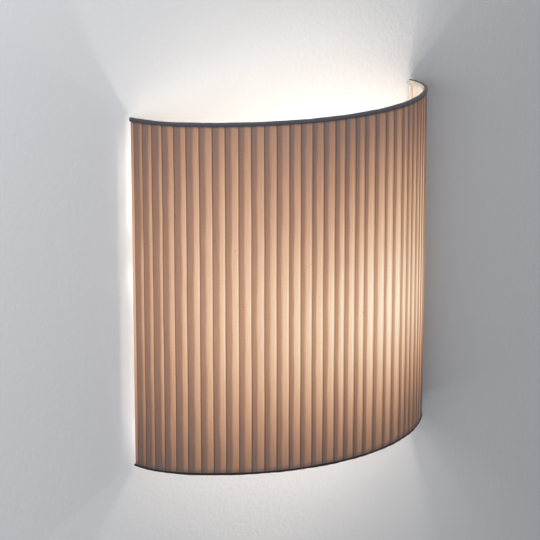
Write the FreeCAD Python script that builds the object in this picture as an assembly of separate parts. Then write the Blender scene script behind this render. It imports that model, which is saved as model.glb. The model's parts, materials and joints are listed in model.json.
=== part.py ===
"""Half-round wall light with a knife-pleated fabric shade, in millimetres.

The wall is the plane Y = 0, the room is on the -Y side, X runs to the right as seen from the room
and Z is up. The origin is on the wall face of the back plate, behind the middle of the shade.
"""

import FreeCAD, Part
import math
import os

from FreeCAD import Vector

# ---- Shade: plan and height -------------------------------------------------------------------
SHADE_WIDTH = 300.0          # over the pleat edges at the wall
SHADE_DEPTH = 98.5           # from the shade's ends to the pleat edges at the front
SHADE_HEIGHT = 296.0         # over both bindings
WALL_GAP = 2.5               # from the wall to the shade's ends
FRONT_ARC_ANGLE = 44.0       # half the angle of the wide front arc, degrees
END_NORMAL_ANGLE = 84.0      # direction faced by the shade's ends, degrees from the front

# ---- Pleated cloth ----------------------------------------------------------------------------
CLOTH_THICKNESS = 0.35
LAYER_GAP = 0.2              # air between the folded layers
PLEAT_COUNT = 36
FIRST_FOLD = 2.6             # from the left end to the first pleat edge
NARROW_COUNT = 4             # pleats at the left end laid a little closer
NARROW_RATIO = 0.89
WIDE_FIRST = 20              # first of the pleats laid wider, counted from the left
WIDE_COUNT = 4
WIDE_RATIO = 1.22
UNDERLAP_MIDDLE = 4.2        # cloth tucked behind each pleat edge at the front
UNDERLAP_ENDS = 7.0          # and at the two ends
STEP_START = 0.12            # where a pleat leaves the layers below, share of its single stretch
STEP_END = 0.75              # where it has come down to the liner

# ---- Liner, wire frame and bindings -----------------------------------------------------------
LINER_THICKNESS = 0.5
LINER_GAP = 0.2              # glue line between the cloth and the liner
WIRE_DIAMETER = 2.5
WIRE_GAP = 0.15              # glue line between the liner and the wires
RING_INSET = 2.6             # from the rim to the middle of the ring wire
UPRIGHT_INSET = 5.0          # from the shade's end to the middle of the upright
TRIM_THICKNESS = 0.5
TRIM_GAP = 0.15              # between the binding and the cloth
TOP_TRIM_HEIGHT = 4.0
BOTTOM_TRIM_HEIGHT = 2.4
TRIM_WAVE = 0.4              # how far the binding follows the pleats in
TRIM_RISE = 0.15             # where it comes out again, share of the single stretch

# ---- Back plate and cable bush ----------------------------------------------------------------
PLATE_LENGTH = 200.0
PLATE_HEIGHT = 96.0
PLATE_THICKNESS = 1.5
PLATE_FLANGE = 10.0          # depth of the bent edges, from the wall
PLATE_BEND = 1.5             # inner radius of the bends
PLATE_CORNER = 8.0
SCREW_SPACING = 160.0        # wall screws, middle to middle
SLOT_LENGTH = 10.0
SLOT_WIDTH = 5.0
SLOT_Z = -8.0
BUSH_Z = 16.0
BUSH_BORE = 10.0
BUSH_WALL = 1.5
BUSH_LENGTH = 8.0
BUSH_FLANGE = 1.6            # width and thickness of the flange

# ---- Arms, pins and sleeves -------------------------------------------------------------------
ARM_THICKNESS = 1.5
ARM_HEIGHT = 12.0
ARM_LAP = 24.0               # length of the arm on the back plate
ARM_Z = 26.0                 # middle of the arm
TAB_WIDTH = 11.0             # level tab at the arm's end
ARM_CORNER_SHARE = 0.3       # corner radius at the arm's two ends, share of their width
RIVET_DIAMETER = 4.0
RIVET_HEAD = 6.4
RIVET_TOP_SHARE = 0.5        # of a rivet head's width that is left at its top
RIVET_HEAD_HEIGHT = 1.3
PIN_DIAMETER = 4.0
PIN_LENGTH = 18.0            # above the tab
PIN_TIP = 1.2                # taper at the top
PIN_TIP_SHARE = 0.5          # of the pin's width that is left at its tip
PIN_TAIL_SHARE = 0.75        # of the pin's width that goes through the tab
PIN_UPSET = 1.0              # riveted end below the tab
SLEEVE_LENGTH = 16.0
SLEEVE_WALL = 1.2
SLEEVE_CLEARANCE = 0.1       # radial, on the pin
SLEEVE_SEAT = 0.3            # from the tab to the sleeve
SLEEVE_WELD = 0.1            # from the sleeve to the upright
ARM_CLEARANCE = 0.4          # from the arm's tab to the upright that passes it

# ---- Lampholder -------------------------------------------------------------------------------
HOLDER_X = -69.0             # rear face of the holder, on its bracket
HOLDER_Y = -50.0
HOLDER_Z = -24.0
BRACKET_THICKNESS = 2.0
BRACKET_WIDTH = 36.0
BRACKET_FOOT = 24.0
BRACKET_BEND = 2.0
BRACKET_CORNER_SHARE = 0.25  # corner radius of the foot, share of its length
NIPPLE_DIAMETER = 10.0
NIPPLE_BORE = 7.0
NIPPLE_OUT = 8.0             # behind the holder's rear face
NIPPLE_IN = 6.0              # inside the holder
NUT_FLATS = 14.0
NUT_THICKNESS = 3.5
WASHER_THICKNESS = 0.8
WASHER_DIAMETER = 15.0
HOLDER_DIAMETER = 40.0
HOLDER_WALL = 2.1
CAP_LENGTH = 24.0
CAP_HUB_DIAMETER = 19.0
CAP_HUB_LENGTH = 4.0
CAP_SHOULDER = 8.0           # length of the sloping shoulder
SKIRT_LENGTH = 34.0
SPIGOT_LENGTH = 6.0
SPIGOT_WALL = 1.6
COLLAR_HEIGHT = 1.2          # grip ring on the skirt
COLLAR_LENGTH = 5.0
CORE_LENGTH = 13.0
SHELL_BORE = 27.0
SHELL_WALL = 0.5
SHELL_LENGTH = 22.5
CONTACT_THICKNESS = 0.4
CONTACT_WIDTH = 6.0
CONTACT_RISE = 2.2
WIRE_SCREW_OFFSET = 9.0
WIRE_SCREW_SHARE = 0.8       # head of the holder's wire screws, share of the machine screws'

# ---- Lamp -------------------------------------------------------------------------------------
LAMP_CAP_DIAMETER = 26.2
LAMP_CAP_LENGTH = 22.5
INSULATOR_LENGTH = 2.5
INSULATOR_RIM = 1.0          # round the contact
BUTTON_DIAMETER = 9.0
BUTTON_LENGTH = 1.5
BUTTON_REST = 0.3            # from the holder's spring contact to the lamp's
BUTTON_TIP_SHARE = 0.7       # of the contact's width that is left at its end
LAMP_CAP_TAPER = 1.5         # how far the cap's rear edge is turned in
LAMP_CAP_TAPER_LENGTH = 2.0
LAMP_NECK_DIAMETER = 28.0
GLOBE_DIAMETER = 60.0
GLOBE_OPENING = 54.0         # where the globe meets the housing
GLOBE_BANDS = 10             # straight bands that its round is made of
BOARD_INSET = 3.0            # from the globe's opening to the board's edge
LAMP_LENGTH = 109.0
BOARD_THICKNESS = 1.6
HOUSING_NECK = 4.0           # straight neck in front of the cap
HOUSING_BAND = 6.0           # straight band behind the globe

# ---- Supply connection ------------------------------------------------------------------------
BLOCK_FROM_EARTH = 34.0      # from the earth screw to the middle of the block
BLOCK_Z = 14.0
BLOCK_WIDTH = 18.0
BLOCK_BASE = 4.0             # height of the block's foot
BLOCK_HEIGHT = 13.0
BLOCK_END = 4.0              # foot beyond the outer poles
POLE_PITCH = 10.0
POLE_COUNT = 3
INSERT_SIZE = 4.4            # square brass bars
INSERT_WALL = 1.2            # moulding round the bars and the clamp screws
INSERT_BORE = 3.0
INSERT_HEIGHT = 7.0          # middle of the inserts above the back plate
CLAMP_SCREW_DIAMETER = 2.6
CLAMP_SCREW_SPACING = 9.0
CLAMP_SLOT = 0.6             # width of the clamp screws' slots
CLAMP_SLOT_DEPTH = 0.8
CLAMP_SCREW_SINK = 1.0       # from the block's top to the clamp screws
POLE_INSET = 2.0             # foot and inserts shorter than the channels
BLOCK_SCREW_DIAMETER = 2.5
BLOCK_SCREW_HEAD = 4.4
BLOCK_SCREW_HEAD_HEIGHT = 1.6
LEAD_DIAMETER = 2.0
LEAD_PAIR_OFFSET = 1.6       # either side of the nipple's axis
LEAD_BEND = 16.0
LEAD_REACH = 36.0            # how far the leads loop out behind the holder's bracket
LEAD_STOP = 2.0              # from a lead's bare end to the middle of the block
LEAD_START = 3.5             # from the holder's insert to the lead's end beside its screw
LEAD_START_SHARE = 0.72      # of the way out to the screw where the lead starts
LEAD_FIRST_BEND = 6.0
EARTH_FROM_ARM = 2.0         # from the arm's inner end to the earth screw
EARTH_Z = 14.6
EARTH_TAG_LENGTH = 8.0
EARTH_TAG_THICKNESS = 0.8
EARTH_TAG_NECK = 3.4         # width of the strip from the ring to the barrel
BARREL_WALL = 0.6
BARREL_LENGTH = 6.0
BARREL_LAP = 2.0             # of the barrel over the tag's strip
EARTH_WASHER_OVER = 1.0      # washer wider than the screw's head
EARTH_LEAD_IN = 2.0          # straight run into the block, before its bend
EARTH_LEAD_OUT = 7.0         # straight run out of the barrel
EARTH_LEAD_BEND = 3.0

# ---- Machine screws ---------------------------------------------------------------------------
SCREW_DIAMETER = 4.0
SCREW_HEAD = 7.4
HEAD_RIM_SHARE = 0.55        # of a head's height that is its straight rim
HEAD_TOP_SHARE = 0.64        # of a head's width that is its flat top
CROSS_SHARE = 0.55           # of a head's width that its cross recess spans
SCREW_HEAD_HEIGHT = 2.6
SCREW_CROSS_WIDTH = 1.0
SCREW_CROSS_DEPTH = 1.1
FIT = 0.05                   # radial, between a screw or tube and its hole
FACE_GAP = 0.05              # between seated faces that turn or clamp

WIRE_SIDES = 8               # sides of the outline of wires

X_AXIS = Vector(1, 0, 0)
Y_AXIS = Vector(0, 1, 0)
Z_AXIS = Vector(0, 0, 1)
OUT = Vector(0, -1, 0)       # from the wall into the room

NODES = {}


def keep(name, shape):
    """Holds a finished piece under its node name."""
    NODES[name] = shape


# ---- The shade's plan: a wide front arc between two tighter side arcs --------------------------
FRONT_ANGLE = math.radians(FRONT_ARC_ANGLE)
END_ANGLE = math.radians(END_NORMAL_ANGLE)


def arch_radii():
    """Front and side radii for which the three arcs have the shade's width and depth."""
    a, b = math.sin(FRONT_ANGLE), math.sin(END_ANGLE) - math.sin(FRONT_ANGLE)
    c, d = 1 - math.cos(FRONT_ANGLE), math.cos(FRONT_ANGLE) - math.cos(END_ANGLE)
    half = SHADE_WIDTH / 2
    det = a * d - b * c
    return (half * d - b * SHADE_DEPTH) / det, (a * SHADE_DEPTH - c * half) / det


FRONT_RADIUS, SIDE_RADIUS = arch_radii()
FRONT_CENTRE_Y = -WALL_GAP - SHADE_DEPTH + FRONT_RADIUS
SIDE_CENTRE_X = (FRONT_RADIUS - SIDE_RADIUS) * math.sin(FRONT_ANGLE)
SIDE_CENTRE_Y = FRONT_CENTRE_Y - (FRONT_RADIUS - SIDE_RADIUS) * math.cos(FRONT_ANGLE)
HALF_ARCH = FRONT_RADIUS * FRONT_ANGLE + SIDE_RADIUS * (END_ANGLE - FRONT_ANGLE)


def arch_at_angle(angle, depth):
    """Point of the plan whose outward normal is at angle from the front, depth inside the pleats."""
    side = abs(angle) > FRONT_ANGLE
    cx = math.copysign(SIDE_CENTRE_X, angle) if side else 0.0
    cy = SIDE_CENTRE_Y if side else FRONT_CENTRE_Y
    radius = (SIDE_RADIUS if side else FRONT_RADIUS) - depth
    return Vector(cx + radius * math.sin(angle), cy - radius * math.cos(angle), 0)


def arch_at(along, depth):
    """Point at a distance along the plan from its left end, depth inside the pleat edges."""
    run = along - HALF_ARCH
    front_run = FRONT_RADIUS * FRONT_ANGLE
    if abs(run) <= front_run:
        return arch_at_angle(run / FRONT_RADIUS, depth)
    angle = FRONT_ANGLE + (abs(run) - front_run) / SIDE_RADIUS
    return arch_at_angle(math.copysign(angle, run), depth)


def arch_edges(depth, end=END_ANGLE):
    """The three arcs of the plan at a depth, from left to right."""
    edges = []
    for low, high in ((-end, -FRONT_ANGLE), (-FRONT_ANGLE, FRONT_ANGLE), (FRONT_ANGLE, end)):
        inside = 1e-9
        points = [arch_at_angle(a, depth) for a in (low + inside, (low + high) / 2, high - inside)]
        edges.append(points)
    ends = [edges[0][0], edges[0][2], edges[1][2], edges[2][2]]
    return [Part.Arc(ends[i], edges[i][1], ends[i + 1]).toShape() for i in range(3)]


def prism(points, bottom, height):
    """Upright prism over a closed outline of straight sides."""
    raised = [Vector(p.x, p.y, bottom) for p in points]
    return Part.Face(Part.makePolygon(raised + raised[:1])).extrude(Vector(0, 0, height))


# ---- Pleats -----------------------------------------------------------------------------------
TUCK_DEPTH = 3 * CLOTH_THICKNESS + 2 * LAYER_GAP      # three folded layers
LINER_OUTER = TUCK_DEPTH + LINER_GAP
LINER_INNER = LINER_OUTER + LINER_THICKNESS
WIRE_DEPTH = LINER_INNER + WIRE_GAP + WIRE_DIAMETER / 2
CLOTH_HEIGHT = SHADE_HEIGHT - 2 * (TRIM_THICKNESS + TRIM_GAP)


def pleat_ratio(index):
    """Width of a pleat as a share of the ordinary one."""
    if index < NARROW_COUNT:
        return NARROW_RATIO
    if WIDE_FIRST <= index < WIDE_FIRST + WIDE_COUNT:
        return WIDE_RATIO
    return 1.0


def fold_places():
    """Distance along the plan of each pleat edge, and of the right-hand end."""
    total = sum(pleat_ratio(i) for i in range(PLEAT_COUNT))
    unit = (2 * HALF_ARCH - FIRST_FOLD) / total
    places = [FIRST_FOLD]
    for index in range(PLEAT_COUNT):
        places.append(places[-1] + unit * pleat_ratio(index))
    return places


FOLDS = fold_places()


def underlap(index):
    """Cloth tucked behind a pleat edge: least at the front, most at the ends."""
    share = FOLDS[index] / FOLDS[-1]
    return UNDERLAP_ENDS + (UNDERLAP_MIDDLE - UNDERLAP_ENDS) * math.sin(math.pi * share)


def single_stretch(index, share):
    """A place on the part of a pleat with no layers below it, as a distance along the plan."""
    tip = FOLDS[index] + underlap(index)
    return tip + share * (FOLDS[index + 1] - tip)


def pleated_cloth():
    """One strip of cloth, folded back on itself behind every pleat edge."""
    t, g = CLOTH_THICKNESS, LAYER_GAP
    low = 2 * (t + g)
    face, back = [arch_at(0, low)], [arch_at(0, low + t)]
    for index in range(PLEAT_COUNT):
        edge, tip = FOLDS[index], FOLDS[index] + underlap(index)
        lift, land = single_stretch(index, STEP_START), single_stretch(index, STEP_END)
        face += [arch_at(tip - t, low), arch_at(tip - t, 2 * t + g), arch_at(edge, 2 * t + g)]
        face += [arch_at(edge, 0), arch_at(lift, 0), arch_at(land, low)]
        back += [arch_at(tip, low + t), arch_at(tip, t + g), arch_at(edge + t, t + g)]
        back += [arch_at(edge + t, t), arch_at(lift, t), arch_at(land, low + t)]
    face.append(arch_at(FOLDS[-1], low))
    back.append(arch_at(FOLDS[-1], low + t))
    return prism(face + back[::-1], -CLOTH_HEIGHT / 2, CLOTH_HEIGHT)


def shade_liner():
    """Stiff translucent sheet behind the cloth."""
    outer, inner = arch_edges(LINER_OUTER), arch_edges(LINER_INNER)
    left = Part.makeLine(inner[0].Vertexes[0].Point, outer[0].Vertexes[0].Point)
    right = Part.makeLine(outer[2].Vertexes[-1].Point, inner[2].Vertexes[-1].Point)
    outline = Part.Wire(Part.sortEdges([left] + outer + [right] + inner)[0])
    sheet = Part.Face(outline).extrude(Vector(0, 0, CLOTH_HEIGHT))
    sheet.translate(Vector(0, 0, -CLOTH_HEIGHT / 2))
    return sheet


def trim_line(depth):
    """The wavy line of a binding that follows the pleats, depth further in."""
    points = [arch_at(0, depth)]
    for index in range(PLEAT_COUNT):
        points.append(arch_at(FOLDS[index], depth))
        points.append(arch_at(single_stretch(index, STEP_START), depth))
        points.append(arch_at(single_stretch(index, STEP_END), depth + TRIM_WAVE))
        if index < PLEAT_COUNT - 1:
            points.append(arch_at(single_stretch(index, 1 - TRIM_RISE), depth))
    points.append(arch_at(FOLDS[-1], depth + TRIM_WAVE))
    return points


def binding(height, top):
    """Folded edge binding: a band outside the cloth and a lip over the rim."""
    outer, inner = trim_line(-TRIM_GAP - TRIM_THICKNESS), trim_line(-TRIM_GAP)
    across = [arch_at(FOLDS[-1] * i / PLEAT_COUNT, LINER_INNER) for i in range(PLEAT_COUNT + 1)]
    band = prism(outer + inner[::-1], 0, height)
    lip = prism(outer + across[::-1], height - TRIM_THICKNESS, TRIM_THICKNESS)
    shape = band.fuse(lip).removeSplitter()
    if not top:
        shape = shape.mirror(Vector(0, 0, height / 2), Z_AXIS)
        return moved(shape, Vector(0, 0, -SHADE_HEIGHT / 2))
    return moved(shape, Vector(0, 0, SHADE_HEIGHT / 2 - height))


def ring_wire(z):
    """Half-round wire inside a rim."""
    path = Part.Wire(arch_edges(WIRE_DEPTH))
    path.translate(Vector(0, 0, z))
    start = path.Edges[0]
    direction = start.tangentAt(start.FirstParameter)
    point = start.valueAt(start.FirstParameter)
    return path.makePipeShell([wire_section(point, direction, WIRE_DIAMETER)], True, False)


# ---- General shapes ---------------------------------------------------------------------------
def wire_section(point, direction, diameter):
    """Outline of a drawn wire, with the few sides that its thinness needs."""
    turn = FreeCAD.Rotation(Z_AXIS, direction)
    corners = []
    for i in range(WIRE_SIDES + 1):
        angle = 2 * math.pi * i / WIRE_SIDES
        spoke = Vector(math.cos(angle), math.sin(angle), 0) * (diameter / 2)
        corners.append(point + turn.multVec(spoke))
    return Part.makePolygon(corners)


def moved(shape, by):
    """A copy of the shape, moved."""
    copy = shape.copy()
    copy.translate(by)
    return copy


def rod(base, direction, diameter, length):
    """Cylinder from a point along a direction."""
    return Part.makeCylinder(diameter / 2, length, base, direction)


def tube(base, direction, outer, bore, length):
    """Cylinder with a hole right through."""
    return rod(base, direction, outer, length).cut(rod(base, direction, bore, length))


def plate(x, y, z, width, depth, height):
    """Block centred on x and z, standing out from y towards the room."""
    return Part.makeBox(width, depth, height, Vector(x - width / 2, y - depth, z - height / 2))


def rounded(shape, radius, chosen):
    """Rounds the straight edges that the test picks."""
    edges = [e for e in shape.Edges if len(e.Vertexes) == 2 and chosen(e)]
    return shape.makeFillet(radius, edges)


def along(edge, axis):
    """Whether an edge runs along an axis."""
    ends = [v.Point for v in edge.Vertexes]
    run = ends[1].sub(ends[0])
    return run.cross(axis).Length < 1e-6 * run.Length


def middle(edge):
    """Middle point of a straight edge."""
    ends = [v.Point for v in edge.Vertexes]
    return ends[0].add(ends[1]).multiply(0.5)


def turned(*profile):
    """Solid of revolution on the lamp's axis.

    Each point is (x, radius) from the holder's rear face; a point with four numbers is the middle
    and the end of an arc.
    """
    def place(x, radius):
        return Vector(HOLDER_X + x, HOLDER_Y, HOLDER_Z + radius)

    first = last = place(*profile[0])
    edges = []
    for point in profile[1:]:
        end = place(*point[-2:])
        if len(point) == 4:
            edges.append(Part.Arc(last, place(*point[:2]), end).toShape())
        else:
            edges.append(Part.makeLine(last, end))
        last = end
    if last.distanceToPoint(first) > 1e-7:
        edges.append(Part.makeLine(last, first))
    face = Part.Face(Part.Wire(edges))
    return face.revolve(Vector(0, HOLDER_Y, HOLDER_Z), X_AXIS, 360)


def pan_screw(seat, direction, diameter, length, head, head_height):
    """Screw with a rounded head that stands on the seat, and a shank the other way."""
    top = head_height * HEAD_RIM_SHARE
    crown = rod(seat, direction, head, top)
    cone = Part.makeCone(head / 2, head * HEAD_TOP_SHARE / 2, head_height - top,
                         seat + direction * top, direction)
    screw = crown.fuse(cone).fuse(rod(seat - direction * length, direction, diameter, length))
    slot_at = seat + direction * (head_height - SCREW_CROSS_DEPTH)
    size = head * CROSS_SHARE
    slots = []
    for wide, high in ((size, SCREW_CROSS_WIDTH), (SCREW_CROSS_WIDTH, size)):
        slot = Part.makeBox(wide, high, 2 * SCREW_CROSS_DEPTH, Vector(-wide / 2, -high / 2, 0))
        turn = FreeCAD.Rotation(Z_AXIS, direction)
        slot.Placement = FreeCAD.Placement(slot_at, turn)
        slots.append(slot)
    return screw.cut(slots).removeSplitter()


def lead(points, bends):
    """Insulated wire: straight runs joined by tangent arcs of the given radii."""
    edges = []
    last = points[0]
    for index, bend in enumerate(bends, 1):
        corner = points[index]
        back = (points[index - 1] - corner).normalize()
        on = (points[index + 1] - corner).normalize()
        half = back.getAngle(on) / 2
        reach = bend / math.tan(half)
        start, end = corner + back * reach, corner + on * reach
        bisector = (back + on).normalize()
        crown = corner + bisector * (bend / math.sin(half) - bend)
        edges.append(Part.makeLine(last, start))
        edges.append(Part.Arc(start, crown, end).toShape())
        last = end
    edges.append(Part.makeLine(last, points[-1]))
    path = Part.Wire(edges)
    section = wire_section(points[0], points[1] - points[0], LEAD_DIAMETER)
    shape = path.makePipeShell([section], True, False)
    expected = Part.Face(section).Area * path.Length
    print("lead length %.1f, bends %s, volume ratio %.4f" % (path.Length, bends, shape.Volume / expected))
    return shape


# ---- Shade ------------------------------------------------------------------------------------
RING_Z = SHADE_HEIGHT / 2 - RING_INSET
UPRIGHT_POINT = arch_at(2 * HALF_ARCH - UPRIGHT_INSET, WIRE_DEPTH)
SLEEVE_DIAMETER = PIN_DIAMETER + 2 * (SLEEVE_CLEARANCE + SLEEVE_WALL)
PIN_X = UPRIGHT_POINT.x - WIRE_DIAMETER / 2 - SLEEVE_WELD - SLEEVE_DIAMETER / 2
PIN_Y = UPRIGHT_POINT.y
TAB_TOP = ARM_Z + ARM_HEIGHT / 2


def make_shade():
    """The part that lifts off: cloth, liner, bindings and wire frame."""
    keep("pleated_cloth", pleated_cloth())
    keep("shade_liner", shade_liner())
    keep("top_trim", binding(TOP_TRIM_HEIGHT, True))
    keep("bottom_trim", binding(BOTTOM_TRIM_HEIGHT, False))
    keep("top_ring", ring_wire(RING_Z))
    keep("bottom_ring", ring_wire(-RING_Z))
    upright_end = RING_Z - WIRE_DIAMETER / 2 - WIRE_GAP
    for side, name in ((-1, "left"), (1, "right")):
        foot = Vector(side * UPRIGHT_POINT.x, UPRIGHT_POINT.y, -upright_end)
        keep(name + "_upright", rod(foot, Z_AXIS, WIRE_DIAMETER, 2 * upright_end))
        seat = Vector(side * PIN_X, PIN_Y, TAB_TOP + SLEEVE_SEAT)
        bore = PIN_DIAMETER + 2 * SLEEVE_CLEARANCE
        keep(name + "_sleeve", tube(seat, Z_AXIS, SLEEVE_DIAMETER, bore, SLEEVE_LENGTH))


# ---- Back plate, bush, arms and pins ----------------------------------------------------------
PLATE_FACE = -PLATE_THICKNESS       # room side of the plate
ARM_FACE = PLATE_FACE - ARM_THICKNESS
FOOT_FACE = PLATE_FACE - BRACKET_THICKNESS
BUSH_DIAMETER = BUSH_BORE + 2 * BUSH_WALL
RIVET_XS = [PLATE_LENGTH / 2 - ARM_LAP * share for share in (0.25, 0.75)]
EARTH_X = ARM_LAP + EARTH_FROM_ARM - PLATE_LENGTH / 2
BLOCK_X = EARTH_X + BLOCK_FROM_EARTH
BRACKET_SCREW_X = HOLDER_X + BRACKET_FOOT * 0.62
BRACKET_SCREW_ZS = [HOLDER_Z + BRACKET_WIDTH * share for share in (-0.28, 0.28)]


def slot_cut(x, z):
    """Round-ended slot along X, through the back plate."""
    straight = SLOT_LENGTH - SLOT_WIDTH
    depth = 2 * PLATE_THICKNESS
    start = depth / 2
    cut = plate(x, start, z, straight, depth, SLOT_WIDTH)
    for end in (-1, 1):
        cut = cut.fuse(rod(Vector(x + end * straight / 2, start, z), OUT, SLOT_WIDTH, depth))
    return cut


def back_plate():
    """Steel plate with its long edges bent forward, holes and slots."""
    solid = plate(0, 0, 0, PLATE_LENGTH, PLATE_FLANGE, PLATE_HEIGHT)
    inside = PLATE_HEIGHT - 2 * PLATE_THICKNESS
    hollow = plate(0, PLATE_FACE, 0, PLATE_LENGTH, PLATE_FLANGE, inside)
    shape = solid.cut(hollow)
    shape = rounded(shape, PLATE_BEND, lambda e: along(e, X_AXIS)
                    and abs(middle(e).y - PLATE_FACE) < 1e-6 and abs(middle(e).z) < PLATE_HEIGHT / 2 - 1e-6)
    shape = rounded(shape, PLATE_BEND + PLATE_THICKNESS, lambda e: along(e, X_AXIS)
                    and abs(middle(e).y) < 1e-6)
    flange_corner = min(PLATE_CORNER, PLATE_FLANGE - PLATE_THICKNESS - PLATE_BEND - FACE_GAP)
    shape = rounded(shape, flange_corner, lambda e: along(e, Z_AXIS)
                    and abs(middle(e).y + PLATE_FLANGE) < 1e-6)
    holes = [slot_cut(side * SCREW_SPACING / 2, SLOT_Z) for side in (-1, 1)]
    holes.append(rod(Vector(0, 1, BUSH_Z), OUT, BUSH_DIAMETER + 2 * FIT, 2 + PLATE_THICKNESS))
    places = [(side * x, ARM_Z, RIVET_DIAMETER) for side in (-1, 1) for x in RIVET_XS]
    places += [(BRACKET_SCREW_X, z, SCREW_DIAMETER) for z in BRACKET_SCREW_ZS]
    places += [(BLOCK_X, BLOCK_SCREW_Z, BLOCK_SCREW_DIAMETER), (EARTH_X, EARTH_Z, SCREW_DIAMETER)]
    for x, z, diameter in places:
        holes.append(rod(Vector(x, 1, z), OUT, diameter + 2 * FIT, 2 + PLATE_THICKNESS))
    return shape.cut(holes)


def cable_bush():
    """Plastic bush, flush with the wall face, with a flange on the room side."""
    body = rod(Vector(0, 0, BUSH_Z), OUT, BUSH_DIAMETER, BUSH_LENGTH)
    seat = Vector(0, PLATE_FACE - FACE_GAP, BUSH_Z)
    flange = rod(seat, OUT, BUSH_DIAMETER + 2 * BUSH_FLANGE, BUSH_FLANGE)
    shape = body.fuse(flange).cut(rod(Vector(0, 0, BUSH_Z), OUT, BUSH_BORE, BUSH_LENGTH))
    return shape.removeSplitter()


def arm(side):
    """Strip from the back plate to the shade's end, with a level tab for the pin."""
    inner = PLATE_LENGTH / 2 - ARM_LAP
    outer = UPRIGHT_POINT.x - WIRE_DIAMETER / 2 - ARM_CLEARANCE
    reach = -PIN_Y + TAB_WIDTH / 2
    strip = Part.makeBox(outer - inner, ARM_THICKNESS, ARM_HEIGHT,
                         Vector(inner, ARM_FACE, ARM_Z - ARM_HEIGHT / 2))
    tab = Part.makeBox(TAB_WIDTH, reach + PLATE_FACE, ARM_THICKNESS,
                       Vector(outer - TAB_WIDTH, -reach, TAB_TOP - ARM_THICKNESS))
    shape = strip.fuse(tab)
    hole = rod(Vector(PIN_X, PIN_Y, TAB_TOP - 2 * ARM_THICKNESS), Z_AXIS,
               PIN_DIAMETER * PIN_TAIL_SHARE + 2 * FIT, 3 * ARM_THICKNESS)
    cuts = [hole]
    for x in RIVET_XS:
        cuts.append(rod(Vector(x, 0, ARM_Z), OUT, RIVET_DIAMETER + 2 * FIT, 4 * ARM_THICKNESS))
    shape = shape.cut(cuts).removeSplitter()
    shape = rounded(shape, TAB_WIDTH * ARM_CORNER_SHARE, lambda e: along(e, Z_AXIS)
                    and abs(middle(e).y + reach) < 1e-6)
    shape = rounded(shape, ARM_HEIGHT * ARM_CORNER_SHARE, lambda e: along(e, Y_AXIS)
                    and abs(middle(e).x - inner) < 1e-6)
    return shape if side > 0 else shape.mirror(Vector(0, 0, 0), X_AXIS)


def shade_pin(side):
    """Upright pin with a tapered tip and a riveted tail through the tab."""
    at = Vector(side * PIN_X, PIN_Y, TAB_TOP)
    body = rod(at, Z_AXIS, PIN_DIAMETER, PIN_LENGTH - PIN_TIP)
    tip = Part.makeCone(PIN_DIAMETER / 2, PIN_DIAMETER / 2 * PIN_TIP_SHARE, PIN_TIP,
                        at + Z_AXIS * (PIN_LENGTH - PIN_TIP), Z_AXIS)
    tail = rod(at - Z_AXIS * ARM_THICKNESS, Z_AXIS, PIN_DIAMETER * PIN_TAIL_SHARE, ARM_THICKNESS)
    upset = rod(at - Z_AXIS * (ARM_THICKNESS + PIN_UPSET), Z_AXIS, PIN_DIAMETER, PIN_UPSET)
    return body.fuse([tip, tail, upset]).removeSplitter()


def rivet(x):
    """Round-headed rivet, flush with the wall face."""
    head = Part.makeCone(RIVET_HEAD / 2, RIVET_HEAD / 2 * RIVET_TOP_SHARE, RIVET_HEAD_HEIGHT,
                         Vector(x, ARM_FACE, ARM_Z), OUT)
    shank = rod(Vector(x, 0, ARM_Z), OUT, RIVET_DIAMETER, -ARM_FACE)
    return head.fuse(shank).removeSplitter()


def make_wall_part():
    """Back plate with its bush, arms, rivets and pins."""
    keep("back_plate", back_plate())
    keep("cable_bush", cable_bush())
    keep("left_arm", arm(-1))
    keep("right_arm", arm(1))
    keep("arm_rivets", Part.makeCompound([rivet(side * x) for side in (-1, 1) for x in RIVET_XS]))
    keep("shade_pins", Part.makeCompound([shade_pin(side) for side in (-1, 1)]))


# ---- Lampholder -------------------------------------------------------------------------------
HOLDER_AT = Vector(HOLDER_X, HOLDER_Y, HOLDER_Z)
HOLDER_R = HOLDER_DIAMETER / 2
CAP_BORE_R = NIPPLE_DIAMETER / 2 + FIT
SPIGOT_R = HOLDER_R - HOLDER_WALL - FIT
SKIRT_INNER_R = SPIGOT_R - SPIGOT_WALL
CORE_R = SKIRT_INNER_R - 2 * FIT
CORE_REAR = CAP_LENGTH - SPIGOT_LENGTH
CORE_FRONT = CORE_REAR + CORE_LENGTH
SHELL_R = SHELL_BORE / 2 + SHELL_WALL
SHELL_REAR = CORE_FRONT + CONTACT_THICKNESS + 2 * FACE_GAP
HOLDER_FRONT = CAP_LENGTH + SKIRT_LENGTH


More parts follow.
